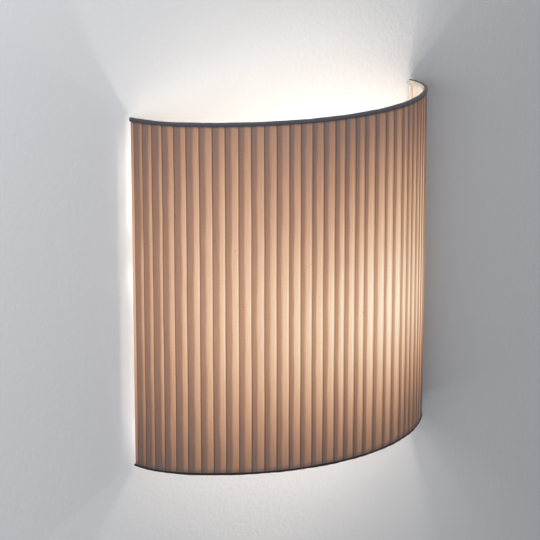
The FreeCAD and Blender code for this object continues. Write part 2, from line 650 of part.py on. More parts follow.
def holder_bracket():
    """Angle of steel strip: a foot on the back plate and a round-ended leg that takes the nipple."""
    leg_x = HOLDER_X - BRACKET_THICKNESS
    low = HOLDER_Z - BRACKET_WIDTH / 2
    reach = -HOLDER_Y + PLATE_FACE
    leg = Part.makeBox(BRACKET_THICKNESS, reach, BRACKET_WIDTH, Vector(leg_x, HOLDER_Y, low))
    end = rod(Vector(leg_x, HOLDER_Y, HOLDER_Z), X_AXIS, BRACKET_WIDTH, BRACKET_THICKNESS)
    foot = Part.makeBox(BRACKET_FOOT + BRACKET_THICKNESS, BRACKET_THICKNESS, BRACKET_WIDTH,
                        Vector(leg_x, FOOT_FACE, low))
    shape = leg.fuse([end, foot]).removeSplitter()
    shape = rounded(shape, BRACKET_BEND, lambda e: along(e, Z_AXIS)
                    and abs(middle(e).x - HOLDER_X) < 1e-6 and abs(middle(e).y - FOOT_FACE) < 1e-6)
    shape = rounded(shape, BRACKET_BEND + BRACKET_THICKNESS, lambda e: along(e, Z_AXIS)
                    and abs(middle(e).x - leg_x) < 1e-6 and abs(middle(e).y - PLATE_FACE) < 1e-6)
    shape = rounded(shape, BRACKET_FOOT * BRACKET_CORNER_SHARE, lambda e: along(e, Y_AXIS)
                    and abs(middle(e).x - HOLDER_X - BRACKET_FOOT) < 1e-6)
    cuts = [rod(Vector(leg_x - 1, HOLDER_Y, HOLDER_Z), X_AXIS, NIPPLE_DIAMETER + 2 * FIT,
                BRACKET_THICKNESS + 2)]
    for z in BRACKET_SCREW_ZS:
        cuts.append(rod(Vector(BRACKET_SCREW_X, 0, z), OUT, SCREW_DIAMETER + 2 * FIT, -2 * FOOT_FACE))
    return shape.cut(cuts)


def nipple_nut():
    """Hexagon nut behind the bracket."""
    rear = HOLDER_X - BRACKET_THICKNESS - WASHER_THICKNESS - NUT_THICKNESS
    across = NUT_FLATS / math.sqrt(3)
    corners = []
    for i in range(7):
        turn = math.radians(60 * i)
        corners.append(Vector(rear, HOLDER_Y + across * math.cos(turn), HOLDER_Z + across * math.sin(turn)))
    block = Part.Face(Part.makePolygon(corners)).extrude(X_AXIS * NUT_THICKNESS)
    bore = rod(Vector(rear, HOLDER_Y, HOLDER_Z), X_AXIS, NIPPLE_DIAMETER + 2 * FIT, NUT_THICKNESS)
    return block.cut(bore)


def holder_cap():
    """Rear cap: a hub on the nipple and a sloping shoulder out to the full width."""
    hub, wall = CAP_HUB_DIAMETER / 2, HOLDER_WALL
    slope = CAP_HUB_LENGTH + CAP_SHOULDER
    inner = HOLDER_R - wall
    return turned((FACE_GAP, CAP_BORE_R), (FACE_GAP, hub), (CAP_HUB_LENGTH, hub), (slope, HOLDER_R),
                  (CAP_LENGTH, HOLDER_R), (CAP_LENGTH, inner), (slope + wall, inner),
                  (CAP_HUB_LENGTH + wall, hub), (CAP_HUB_LENGTH + wall, CAP_BORE_R))


def holder_skirt():
    """Front skirt, screwed into the cap, with a grip ring round its mouth."""
    front = HOLDER_FRONT
    bore = SHELL_R + 4 * FIT
    grip = HOLDER_R + COLLAR_HEIGHT
    return turned(
        (CORE_REAR, SKIRT_INNER_R), (CORE_REAR, SPIGOT_R), (CAP_LENGTH + FACE_GAP, SPIGOT_R),
        (CAP_LENGTH + FACE_GAP, HOLDER_R), (front - COLLAR_LENGTH, HOLDER_R),
        (front - COLLAR_LENGTH + COLLAR_HEIGHT, grip), (front - COLLAR_HEIGHT, grip),
        (front, HOLDER_R), (front, bore), (CORE_FRONT + SHELL_LENGTH / 2, bore),
        (CORE_FRONT + SHELL_LENGTH / 2, SKIRT_INNER_R))


def holder_core():
    """Insulating insert with a rim, a shallow front and two pockets for the wire screws."""
    body = turned((CORE_REAR, 0), (CORE_REAR, CORE_R), (CORE_FRONT, CORE_R), (CORE_FRONT, 0))
    pockets = []
    for side in (-1, 1):
        at = HOLDER_AT + Vector(CORE_REAR, 0, side * WIRE_SCREW_OFFSET)
        pockets.append(rod(at, X_AXIS, SCREW_DIAMETER + 2 * FIT, CORE_LENGTH / 2))
    return body.cut(pockets)


def centre_contact():
    """Bent spring strip under the lamp's contact."""
    base, t, rise = CORE_FRONT + FACE_GAP, CONTACT_THICKNESS, CONTACT_RISE
    foot, knee, tip = -8.0, -4.0, 3.0
    outline = [(base, foot), (base + t, foot), (base + t, knee), (base + rise, tip - 2), (base + rise, tip),
               (base + rise - t, tip), (base + rise - t, tip - 2), (base, knee)]
    corners = [HOLDER_AT + Vector(x, -CONTACT_WIDTH / 2, z) for x, z in outline]
    return Part.Face(Part.makePolygon(corners + corners[:1])).extrude(Y_AXIS * CONTACT_WIDTH)


def side_contact():
    """Curved strip that the threaded shell stands on."""
    rear = CORE_FRONT + FACE_GAP
    ring = turned((rear, SHELL_BORE / 2), (rear, CORE_R), (rear + CONTACT_THICKNESS, CORE_R),
                  (rear + CONTACT_THICKNESS, SHELL_BORE / 2))
    sector = Part.makeBox(CORE_LENGTH, CORE_R, 2 * CORE_R,
                          HOLDER_AT + Vector(rear - CORE_LENGTH / 2, SHELL_BORE / 4, -CORE_R))
    return ring.common(sector)


def make_holder():
    """Bracket, nipple and lampholder."""
    keep("holder_bracket", holder_bracket())
    heads = [pan_screw(Vector(BRACKET_SCREW_X, FOOT_FACE, z), OUT, SCREW_DIAMETER, -FOOT_FACE,
                       SCREW_HEAD, SCREW_HEAD_HEIGHT) for z in BRACKET_SCREW_ZS]
    keep("bracket_screws", Part.makeCompound(heads))
    rear = HOLDER_AT - X_AXIS * NIPPLE_OUT
    keep("holder_nipple", tube(rear, X_AXIS, NIPPLE_DIAMETER, NIPPLE_BORE, NIPPLE_OUT + NIPPLE_IN))
    keep("nipple_nut", nipple_nut())
    washer_at = HOLDER_AT - X_AXIS * (BRACKET_THICKNESS + WASHER_THICKNESS)
    keep("nipple_washer", tube(washer_at, X_AXIS, WASHER_DIAMETER, NIPPLE_DIAMETER + 2 * FIT,
                               WASHER_THICKNESS))
    keep("holder_cap", holder_cap())
    keep("holder_skirt", holder_skirt())
    keep("holder_core", holder_core())
    shell_at = HOLDER_AT + X_AXIS * SHELL_REAR
    keep("holder_shell", tube(shell_at, X_AXIS, 2 * SHELL_R, SHELL_BORE, SHELL_LENGTH))
    keep("centre_contact", centre_contact())
    keep("side_contact", side_contact())
    screws = []
    for side in (-1, 1):
        seat = HOLDER_AT + Vector(CORE_REAR - FACE_GAP, 0, side * WIRE_SCREW_OFFSET)
        screws.append(pan_screw(seat, -X_AXIS, SCREW_DIAMETER, CORE_LENGTH / 2 - 1,
                                SCREW_HEAD * WIRE_SCREW_SHARE, SCREW_HEAD_HEIGHT * WIRE_SCREW_SHARE))
    keep("holder_terminal_screws", Part.makeCompound(screws))


# ---- Lamp -------------------------------------------------------------------------------------
BUTTON_REAR = CORE_FRONT + FACE_GAP + CONTACT_RISE + BUTTON_REST
BUTTON_FRONT = BUTTON_REAR + BUTTON_LENGTH
CAP_REAR = BUTTON_FRONT + INSULATOR_LENGTH
CAP_FRONT = CAP_REAR + LAMP_CAP_LENGTH
GLOBE_R = GLOBE_DIAMETER / 2
GLOBE_CENTRE = BUTTON_REAR + LAMP_LENGTH - GLOBE_R
SEAM_R = GLOBE_OPENING / 2
SEAM = GLOBE_CENTRE - math.sqrt(GLOBE_R ** 2 - SEAM_R ** 2)


def make_lamp():
    """The lamp: metal cap with its contact, plastic housing, light board and opal globe."""
    button, neck, cap = BUTTON_DIAMETER / 2, LAMP_NECK_DIAMETER / 2, LAMP_CAP_DIAMETER / 2
    keep("lamp_contact_button", turned((BUTTON_REAR, 0), (BUTTON_REAR, button * BUTTON_TIP_SHARE),
                                       (BUTTON_REAR + BUTTON_LENGTH / 2, button),
                                       (BUTTON_FRONT, button), (BUTTON_FRONT, 0)))
    rear_edge = (CAP_REAR, cap - LAMP_CAP_TAPER)
    keep("lamp_cap_insulator", turned((BUTTON_FRONT, 0), (BUTTON_FRONT, button + INSULATOR_RIM), rear_edge,
                                      (CAP_REAR, 0)))
    keep("lamp_cap_shell", turned((CAP_REAR, 0), rear_edge, (CAP_REAR + LAMP_CAP_TAPER_LENGTH, cap),
                                  (CAP_FRONT, cap), (CAP_FRONT, 0)))
    board_r = SEAM_R - BOARD_INSET
    waist = (CAP_FRONT + HOUSING_NECK, neck)
    belly = (SEAM - HOUSING_BAND, SEAM_R)
    keep("lamp_housing", turned((CAP_FRONT, 0), (CAP_FRONT, neck), waist, belly, (SEAM, SEAM_R), (SEAM, 0)))
    keep("lamp_led_board", turned((SEAM, 0), (SEAM, board_r), (SEAM + BOARD_THICKNESS, board_r),
                                  (SEAM + BOARD_THICKNESS, 0)))
    first = math.pi - math.asin(SEAM_R / GLOBE_R)
    steps = [first * (1 - i / GLOBE_BANDS) for i in range(1, GLOBE_BANDS)]
    ball = [(GLOBE_CENTRE + GLOBE_R * math.cos(a), GLOBE_R * math.sin(a)) for a in steps]
    floor = SEAM + BOARD_THICKNESS + FIT
    keep("lamp_globe", turned((SEAM, board_r + FIT), (SEAM, SEAM_R), *ball, (GLOBE_CENTRE + GLOBE_R, 0),
                              (floor, 0), (floor, board_r + FIT)))


# ---- Supply connection ------------------------------------------------------------------------
BLOCK_LENGTH = POLE_COUNT * POLE_PITCH + 2 * BLOCK_END
POLE_ZS = [BLOCK_Z + (i - (POLE_COUNT - 1) / 2) * POLE_PITCH for i in range(POLE_COUNT)]
BLOCK_SCREW_Z = BLOCK_Z - POLE_PITCH / 2
BARREL_AT = Vector(EARTH_X + EARTH_TAG_LENGTH - BARREL_LAP, PLATE_FACE - WASHER_THICKNESS - LEAD_DIAMETER / 2
                   - BARREL_WALL, EARTH_Z)
INSERT_Y = PLATE_FACE - INSERT_HEIGHT
BLOCK_TOP = PLATE_FACE - BLOCK_HEIGHT


def terminal_block():
    """Moulded strip: a foot, one raised channel per pole and a screw tower over each clamp."""
    foot = plate(BLOCK_X, PLATE_FACE, BLOCK_Z, BLOCK_WIDTH - POLE_INSET, BLOCK_BASE, BLOCK_LENGTH)
    pieces, cuts = [], []
    screw_room = CLAMP_SCREW_DIAMETER + 2 * FIT
    tower = screw_room + 2 * INSERT_WALL
    room = INSERT_SIZE + 2 * FIT
    height = INSERT_HEIGHT + INSERT_SIZE / 2 + INSERT_WALL
    for z in POLE_ZS:
        pieces.append(plate(BLOCK_X, PLATE_FACE, z, BLOCK_WIDTH, height, INSERT_SIZE + 2 * INSERT_WALL))
        cuts.append(plate(BLOCK_X, INSERT_Y + room / 2, z, BLOCK_WIDTH, room, room))
        for side in (-1, 1):
            clamp = Vector(BLOCK_X + side * CLAMP_SCREW_SPACING / 2, INSERT_Y, z)
            pieces.append(rod(clamp, OUT, tower, BLOCK_HEIGHT - INSERT_HEIGHT))
            cuts.append(rod(clamp, OUT, screw_room, BLOCK_HEIGHT))
    foot_top = Vector(BLOCK_X, PLATE_FACE - BLOCK_BASE, BLOCK_SCREW_Z)
    cuts.append(rod(foot_top - OUT * BLOCK_BASE, OUT, BLOCK_SCREW_DIAMETER + 2 * FIT, BLOCK_BASE))
    cuts.append(rod(foot_top, OUT, BLOCK_SCREW_HEAD + 2 * FACE_GAP, BLOCK_HEIGHT))
    return foot.fuse(pieces).cut(cuts).removeSplitter()


def terminal_insert(z):
    """Square brass bar with a wire bore and two clamp holes."""
    length = BLOCK_WIDTH - POLE_INSET
    bar = plate(BLOCK_X, INSERT_Y + INSERT_SIZE / 2, z, length, INSERT_SIZE, INSERT_SIZE)
    cuts = [rod(Vector(BLOCK_X - length / 2, INSERT_Y, z), X_AXIS, INSERT_BORE, length)]
    for side in (-1, 1):
        clamp = Vector(BLOCK_X + side * CLAMP_SCREW_SPACING / 2, INSERT_Y, z)
        cuts.append(rod(clamp, OUT, CLAMP_SCREW_DIAMETER + 2 * FIT, INSERT_SIZE))
    return bar.cut(cuts)


def clamp_screw(x, z):
    """Slotted clamp screw, down to the wire in its insert."""
    tip = INSERT_Y - LEAD_DIAMETER / 2 - FACE_GAP
    length = tip - BLOCK_TOP - CLAMP_SCREW_SINK
    body = rod(Vector(x, tip, z), OUT, CLAMP_SCREW_DIAMETER, length)
    slot = plate(x, tip - length + CLAMP_SLOT_DEPTH, z, CLAMP_SCREW_DIAMETER, 2 * CLAMP_SLOT_DEPTH,
                 CLAMP_SLOT)
    return body.cut(slot)


def earth_tag():
    """Ring tag under the earth screw, with a barrel that holds the wire."""
    washer = PLATE_FACE - WASHER_THICKNESS
    ring = rod(Vector(EARTH_X, washer, EARTH_Z), OUT, SCREW_HEAD, EARTH_TAG_THICKNESS)
    neck = plate(EARTH_X + EARTH_TAG_LENGTH / 2, washer, EARTH_Z, EARTH_TAG_LENGTH,
                 EARTH_TAG_THICKNESS, EARTH_TAG_NECK)
    barrel = rod(BARREL_AT, X_AXIS, LEAD_DIAMETER + 2 * BARREL_WALL, BARREL_LENGTH)
    shape = ring.fuse([neck, barrel])
    wire_room = rod(BARREL_AT - X_AXIS, X_AXIS, LEAD_DIAMETER + 2 * FIT, BARREL_LENGTH + 2)
    hole = rod(Vector(EARTH_X, 0, EARTH_Z), OUT, SCREW_DIAMETER + 2 * FIT, SCREW_HEAD)
    return shape.cut([wire_room, hole]).removeSplitter()


def supply_lead(side, pole_z):
    """Wire from a holder screw, out through the nipple and round to the terminal block."""
    axis = HOLDER_AT + Vector(0, 0, side * LEAD_PAIR_OFFSET)
    start = HOLDER_AT + Vector(CORE_REAR - LEAD_START, 0, side * WIRE_SCREW_OFFSET * LEAD_START_SHARE)
    inside = axis + X_AXIS * (NIPPLE_IN + 1)
    corner = axis - X_AXIS * LEAD_REACH
    turn = Vector(corner.x, INSERT_Y, pole_z)
    end = Vector(BLOCK_X - LEAD_STOP, INSERT_Y, pole_z)
    return lead([start, inside, corner, turn, end], [LEAD_FIRST_BEND, LEAD_BEND, LEAD_BEND])


def make_supply():
    """Terminal block, earth connection and internal wires."""
    keep("terminal_block", terminal_block())
    keep("terminal_inserts", Part.makeCompound([terminal_insert(z) for z in POLE_ZS]))
    spread = CLAMP_SCREW_SPACING / 2
    screws = [clamp_screw(BLOCK_X + side * spread, z) for z in POLE_ZS for side in (-1, 1)]
    keep("terminal_screws", Part.makeCompound(screws))
    seat = Vector(BLOCK_X, PLATE_FACE - BLOCK_BASE, BLOCK_SCREW_Z)
    keep("terminal_block_screw", pan_screw(seat, OUT, BLOCK_SCREW_DIAMETER, -seat.y,
                                           BLOCK_SCREW_HEAD, BLOCK_SCREW_HEAD_HEIGHT))
    at = Vector(EARTH_X, PLATE_FACE, EARTH_Z)
    keep("earth_washer", tube(at, OUT, SCREW_HEAD + EARTH_WASHER_OVER, SCREW_DIAMETER + 2 * FIT,
                              WASHER_THICKNESS))
    keep("earth_tag", earth_tag())
    seat = Vector(EARTH_X, PLATE_FACE - WASHER_THICKNESS - EARTH_TAG_THICKNESS, EARTH_Z)
    keep("earth_screw", pan_screw(seat, OUT, SCREW_DIAMETER, -seat.y, SCREW_HEAD, SCREW_HEAD_HEIGHT))
    keep("neutral_lead", supply_lead(1, POLE_ZS[1]))
    keep("live_lead", supply_lead(-1, POLE_ZS[0]))
    start = BARREL_AT + X_AXIS
    end = Vector(BLOCK_X - LEAD_STOP, INSERT_Y, POLE_ZS[2])
    entry = end - X_AXIS * (BLOCK_WIDTH / 2 - LEAD_STOP + EARTH_LEAD_BEND + EARTH_LEAD_IN)
    keep("earth_lead", lead([start, start + X_AXIS * EARTH_LEAD_OUT, entry, end],
                            [EARTH_LEAD_BEND, EARTH_LEAD_BEND]))


make_shade()
make_wall_part()
make_holder()
make_lamp()
make_supply()

os.makedirs("parts", exist_ok=True)
for name, shape in NODES.items():
    shape.exportStep("parts/%s.step" % name)
    state = "ok" if shape.isValid() and all(s.isClosed() for s in shape.Solids) else "BAD"
    counts = (len(shape.Solids), len(shape.Faces), shape.Volume)
    print("%-24s %s solids %d faces %d volume %.1f" % ((name, state) + counts))
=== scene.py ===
"""Looks of a half-round pleated wall light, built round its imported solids.

Lengths inside the sub-assemblies are in millimetres; the meshes that they build are in metres.
"""

import json
import logging
import math
import random
from dataclasses import dataclass, field
from enum import Enum
from functools import cached_property
from typing import Optional, Sequence, Union

import bmesh
import bpy
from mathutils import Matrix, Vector


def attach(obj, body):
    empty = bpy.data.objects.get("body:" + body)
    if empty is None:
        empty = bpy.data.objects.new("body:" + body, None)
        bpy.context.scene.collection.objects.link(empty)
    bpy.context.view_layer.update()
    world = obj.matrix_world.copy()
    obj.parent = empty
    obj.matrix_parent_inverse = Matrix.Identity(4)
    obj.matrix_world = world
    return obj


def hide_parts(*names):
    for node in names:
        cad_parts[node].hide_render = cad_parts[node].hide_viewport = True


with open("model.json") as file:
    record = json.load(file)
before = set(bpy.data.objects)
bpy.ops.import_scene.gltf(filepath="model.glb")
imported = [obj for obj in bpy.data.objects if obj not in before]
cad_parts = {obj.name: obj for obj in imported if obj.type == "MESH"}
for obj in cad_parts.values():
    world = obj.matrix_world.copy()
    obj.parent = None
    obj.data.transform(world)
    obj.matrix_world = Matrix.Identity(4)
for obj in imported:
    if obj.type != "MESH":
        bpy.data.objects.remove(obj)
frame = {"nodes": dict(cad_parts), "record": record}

MM = 0.001
FULL_TURN = 2 * math.pi
CLOUD = (0.3, 0.7)  # the middle of a cloudy noise's range
LOG = logging.getLogger("wall_light")

Colour = tuple[float, float, float]
Place = tuple[float, float, float]
Outline = list[tuple[float, float]]


class Body(Enum):
    """The bodies that move against each other."""

    FIXED = "wall_part"
    SHADE = "shade"
    LAMP = "lamp"


class Rim(Enum):
    """The shade's two rims, by the direction that each looks in."""

    TOP = 1
    BOTTOM = -1


class Effect(Enum):
    """The effects that more than one finish uses."""

    GRAIN = "fine_grain"
    WEAR = "edge_wear"
    DUST = "settled_dust"
    THREADS = "woven_threads"
    GLOW = "lamp_glow"


class LightKind(Enum):
    """The kinds of light in the room."""

    POINT = "POINT"
    AREA = "AREA"


# ---- Plan and pleats of the shade ---------------------------------------------------------------
@dataclass(frozen=True)
class ArchPlan:
    """The shade's plan: a wide front arc between two tighter side arcs."""

    width: float = 300.0
    depth: float = 98.5
    wall_gap: float = 2.5
    front_angle: float = math.radians(44.0)
    end_angle: float = math.radians(84.0)

    @cached_property
    def radii(self) -> tuple[float, float]:
        """Front and side radii for which the arcs have the plan's width and depth."""
        a, b = math.sin(self.front_angle), math.sin(self.end_angle) - math.sin(self.front_angle)
        c, d = 1 - math.cos(self.front_angle), math.cos(self.front_angle) - math.cos(self.end_angle)
        half, det = self.width / 2, a * d - b * c
        return (half * d - b * self.depth) / det, (a * self.depth - c * half) / det

    @cached_property
    def half_length(self) -> float:
        """Length of the plan from an end to the middle of the front."""
        front, side = self.radii
        return front * self.front_angle + side * (self.end_angle - self.front_angle)

    def angle(self, along: float) -> float:
        """Direction that the plan faces at a distance along it, from the front."""
        front, side = self.radii
        run, flat = along - self.half_length, front * self.front_angle
        if abs(run) <= flat:
            return run / front
        return math.copysign(self.front_angle + (abs(run) - flat) / side, run)

    def place(self, along: float, depth: float, z: float) -> Vector:
        """Point of the shade.

        Args:
            along: distance along the plan from its left end.
            depth: distance inside the pleat edges.
            z: height.

        Returns:
            The point, in metres.
        """
        front, side = self.radii
        angle = self.angle(along)
        beside = abs(angle) > self.front_angle
        shift = (front - side) if beside else 0.0
        cx = math.copysign(shift * math.sin(self.front_angle), angle)
        cy = front - self.wall_gap - self.depth - shift * math.cos(self.front_angle)
        radius = (side if beside else front) - depth
        return Vector((cx + radius * math.sin(angle), cy - radius * math.cos(angle), z)) * MM


@dataclass(frozen=True)
class PleatLayout:
    """Where each knife pleat's edge lies and how much cloth is tucked behind it."""

    plan: ArchPlan
    count: int = 36
    first: float = 4.2
    narrow_count: int = 4
    narrow: float = 0.89
    wide_first: int = 20
    wide_count: int = 4
    wide: float = 1.22
    underlap_left: float = 7.0
    underlap_middle: float = 4.3
    underlap_right: float = 5.6
    uneven: float = 0.45
    edge_seed: int = 41
    underlap_seed: int = 900

    def ratio(self, index: int) -> float:
        """Width of a pleat as a share of the ordinary one."""
        if index < self.narrow_count:
            return self.narrow
        return self.wide if 0 <= index - self.wide_first < self.wide_count else 1.0

    @cached_property
    def edges(self) -> list[float]:
        """Distance along the plan of each pleat edge, and of the right-hand end."""
        unit = (2 * self.plan.half_length - self.first) / sum(self.ratio(i) for i in range(self.count))
        places = [self.first]
        for index in range(self.count):
            places.append(places[-1] + unit * self.ratio(index))
        chance = random.Random(self.edge_seed)
        return places[:1] + [p + chance.uniform(-1, 1) * self.uneven for p in places[1:-1]] + places[-1:]

    def underlap(self, index: int) -> float:
        """Cloth tucked behind a pleat edge."""
        share = self.edges[index] / self.edges[-1]
        end = self.underlap_left if share < 0.5 else self.underlap_right
        uneven = random.Random(self.underlap_seed + index).uniform(-1, 1) * self.uneven
        return end + (self.underlap_middle - end) * math.sin(math.pi * share) + uneven


class Wander:
    """A smooth, seeded waver of a hand-laid line, made of three waves."""

    WAVES = ((0.6, 1), (0.3, 2.3), (0.16, 5.1))

    def __init__(self, seed: int, size: float, length: float) -> None:
        """Picks the waves.

        Args:
            seed: number that fixes the waver.
            size: about how far the line strays.
            length: about how long its longest wave is.
        """
        chance = random.Random(seed)
        self.waves = [(size * share * chance.uniform(0.6, 1.2), length / over * chance.uniform(0.8, 1.25),
                       chance.uniform(0, FULL_TURN)) for share, over in self.WAVES]

    def at(self, place: float) -> float:
        """How far the line strays at a place on it."""
        return sum(size * math.sin(FULL_TURN * place / length + turn) for size, length, turn in self.waves)


def eased(low: float, high: float, value: float) -> float:
    """Smooth step from 0 at low to 1 at high."""
    share = min(1.0, max(0.0, (value - low) / (high - low)))
    return share * share * (3 - 2 * share)


def spaced(start: float, end: float, count: int) -> list[float]:
    """Evenly spaced numbers, both ends among them."""
    return [start + (end - start) * i / (count - 1) for i in range(count)]


# ---- Meshes -------------------------------------------------------------------------------------
class Skin:
    """A surface made of rows of points, with the values that its finish reads."""

    def __init__(self, name: str) -> None:
        """Starts an empty surface under the name of its piece."""
        self.name = name
        self.points: list[Vector] = []
        self.faces: list[tuple[int, ...]] = []
        self.values: dict[str, list[float]] = {}

    def lay_rows(self, rows: Sequence[Sequence[Vector]], round_trip: bool = False) -> None:
        """Lays the surface's rows of points and joins them with four-sided faces.

        Args:
            rows: rows with the same number of points.
            round_trip: whether each row's last point joins its first, and both ends get a face.
        """
        wide = len(rows[0])
        for row in rows:
            self.points.extend(row)
        for base in range(0, (len(rows) - 1) * wide, wide):
            for c in range(wide if round_trip else wide - 1):
                here, there = base + c, base + (c + 1) % wide
                self.faces.append((here, there, there + wide, here + wide))
        if round_trip:
            last = (len(rows) - 1) * wide
            self.faces.append(tuple(reversed(range(wide))))
            self.faces.append(tuple(last + c for c in range(wide)))

    def build(self, closed: bool = True) -> bpy.types.Object:
        """Turns the rows into an object.

        Args:
            closed: whether the form is closed, so that its normals are turned outwards.

        Returns:
            The new object.
        """
        mesh = bpy.data.meshes.new(self.name)
        mesh.from_pydata(self.points, [], self.faces)
        for name, numbers in self.values.items():
            mesh.attributes.new(name, "FLOAT", "POINT").data.foreach_set("value", numbers)
        if closed:
            work = bmesh.new()
            work.from_mesh(mesh)
            bmesh.ops.recalc_face_normals(work, faces=work.faces)
            work.to_mesh(mesh)
            work.free()
        mesh.shade_smooth()
        piece = bpy.data.objects.new(self.name, mesh)
        bpy.context.scene.collection.objects.link(piece)
        return piece


@dataclass(frozen=True)
class Thread:
    """A rolled screw thread on a turned piece."""

    pitch: float
    depth: float
    start: float
    end: float

    def drop(self, x: float, turn: float) -> float:
        """How far the thread goes in at a place and an angle round the axis."""
        fade = eased(self.start, self.start + self.pitch, x) * (1 - eased(self.end - self.pitch, self.end, x))
        return self.depth * fade * (0.5 - 0.5 * math.cos(FULL_TURN * x / self.pitch - turn))


@dataclass(frozen=True)
class LampAxis:
    """The axis that the lampholder and the lamp share; x counts from the holder's rear face."""

    x: float = -69.0
    y: float = -50.0
    z: float = -24.0
    least_radius: float = 0.01

    def turned(self, name: str, profile: Outline, sides: int = 72,
               thread: Optional[Thread] = None) -> bpy.types.Object:
        """Solid of revolution.

        Args:
            name: the piece's name.
            profile: (x, radius) points.
            sides: steps round the axis.
            thread: screw thread on it.

        Returns:
            The new object.
        """
        rows = []
        for x, radius in profile:
            row = []
            for step in range(sides):
                turn = FULL_TURN * step / sides
                r = max(self.least_radius, radius - (thread.drop(x, turn) if thread else 0.0))
                y, z = self.y + r * math.cos(turn), self.z + r * math.sin(turn)
                row.append(Vector((self.x + x, y, z)) * MM)
            rows.append(row)
        skin = Skin(name)
        skin.lay_rows(rows, round_trip=True)
        return skin.build()


def softened(profile: Outline, radius: float, steps: int = 5) -> Outline:
    """Rounds the corners of a profile.

    Args:
        profile: its points.
        radius: how far from each corner the round starts.
        steps: points on each round.

    Returns:
        The points of the rounded profile.
    """
    most = 0.45
    points = [Vector(p) for p in profile]
    out = [points[0]]
    for before, corner, after in zip(points, points[1:], points[2:]):
        near = min(radius, (corner - before).length * most, (after - corner).length * most)
        a = corner + (before - corner).normalized() * near
        b = corner + (after - corner).normalized() * near
        for step in range(steps + 1):
            t = step / steps
            out.append(a * (1 - t) ** 2 + corner * 2 * t * (1 - t) + b * t ** 2)
    out.append(points[-1])
    return [(p.x, p.y) for p in out]


def tube_along(name: str, path: Sequence[Vector], diameter: float, sides: int = 12) -> bpy.types.Object:
    """Round bar along a line of points.

    Args:
        name: the piece's name.
        path: points in metres.
        diameter: in millimetres.
        sides: steps round the bar.

    Returns:
        The new object.
    """
    radius = diameter / 2
    rows, side = [], None
    for index, point in enumerate(path):
        ahead = (path[min(index + 1, len(path) - 1)] - path[max(index - 1, 0)]).normalized()
        if side is None:
            side = ahead.orthogonal().normalized()
        side = (side - ahead * side.dot(ahead)).normalized()
        up = ahead.cross(side)
        rows.append([point + (side * math.cos(a) + up * math.sin(a)) * radius * MM
                     for a in (FULL_TURN * s / sides for s in range(sides))])
    skin = Skin(name)
    skin.lay_rows(rows, round_trip=True)
    return skin.build()


# ---- Nodes --------------------------------------------------------------------------------------
class Signal:
    """A value on its way between nodes. Sums and products of it are nodes too."""

    def __init__(self, bench: "Bench", socket: bpy.types.NodeSocket) -> None:
        """Keeps the socket that the value comes out of."""
        self.bench, self.socket = bench, socket

    def __add__(self, other: "Feed") -> "Signal":
        """Sum."""
        return self.bench.maths("ADD", self, other)

    def __sub__(self, other: "Feed") -> "Signal":
        """Difference."""
        return self.bench.maths("SUBTRACT", self, other)

    def __rsub__(self, other: "Feed") -> "Signal":
        """Difference from a number."""
        return self.bench.maths("SUBTRACT", other, self)

    def __mul__(self, other: "Feed") -> "Signal":
        """Product."""
        return self.bench.maths("MULTIPLY", self, other)

    def __truediv__(self, other: "Feed") -> "Signal":
        """Quotient."""
        return self.bench.maths("DIVIDE", self, other)

    def __pow__(self, other: "Feed") -> "Signal":
        """Power."""
        return self.bench.maths("POWER", self, other)

    def __abs__(self) -> "Signal":
        """Size without sign."""
        return self.bench.maths("ABSOLUTE", self)


Feed = Union[Signal, float, Sequence[float]]


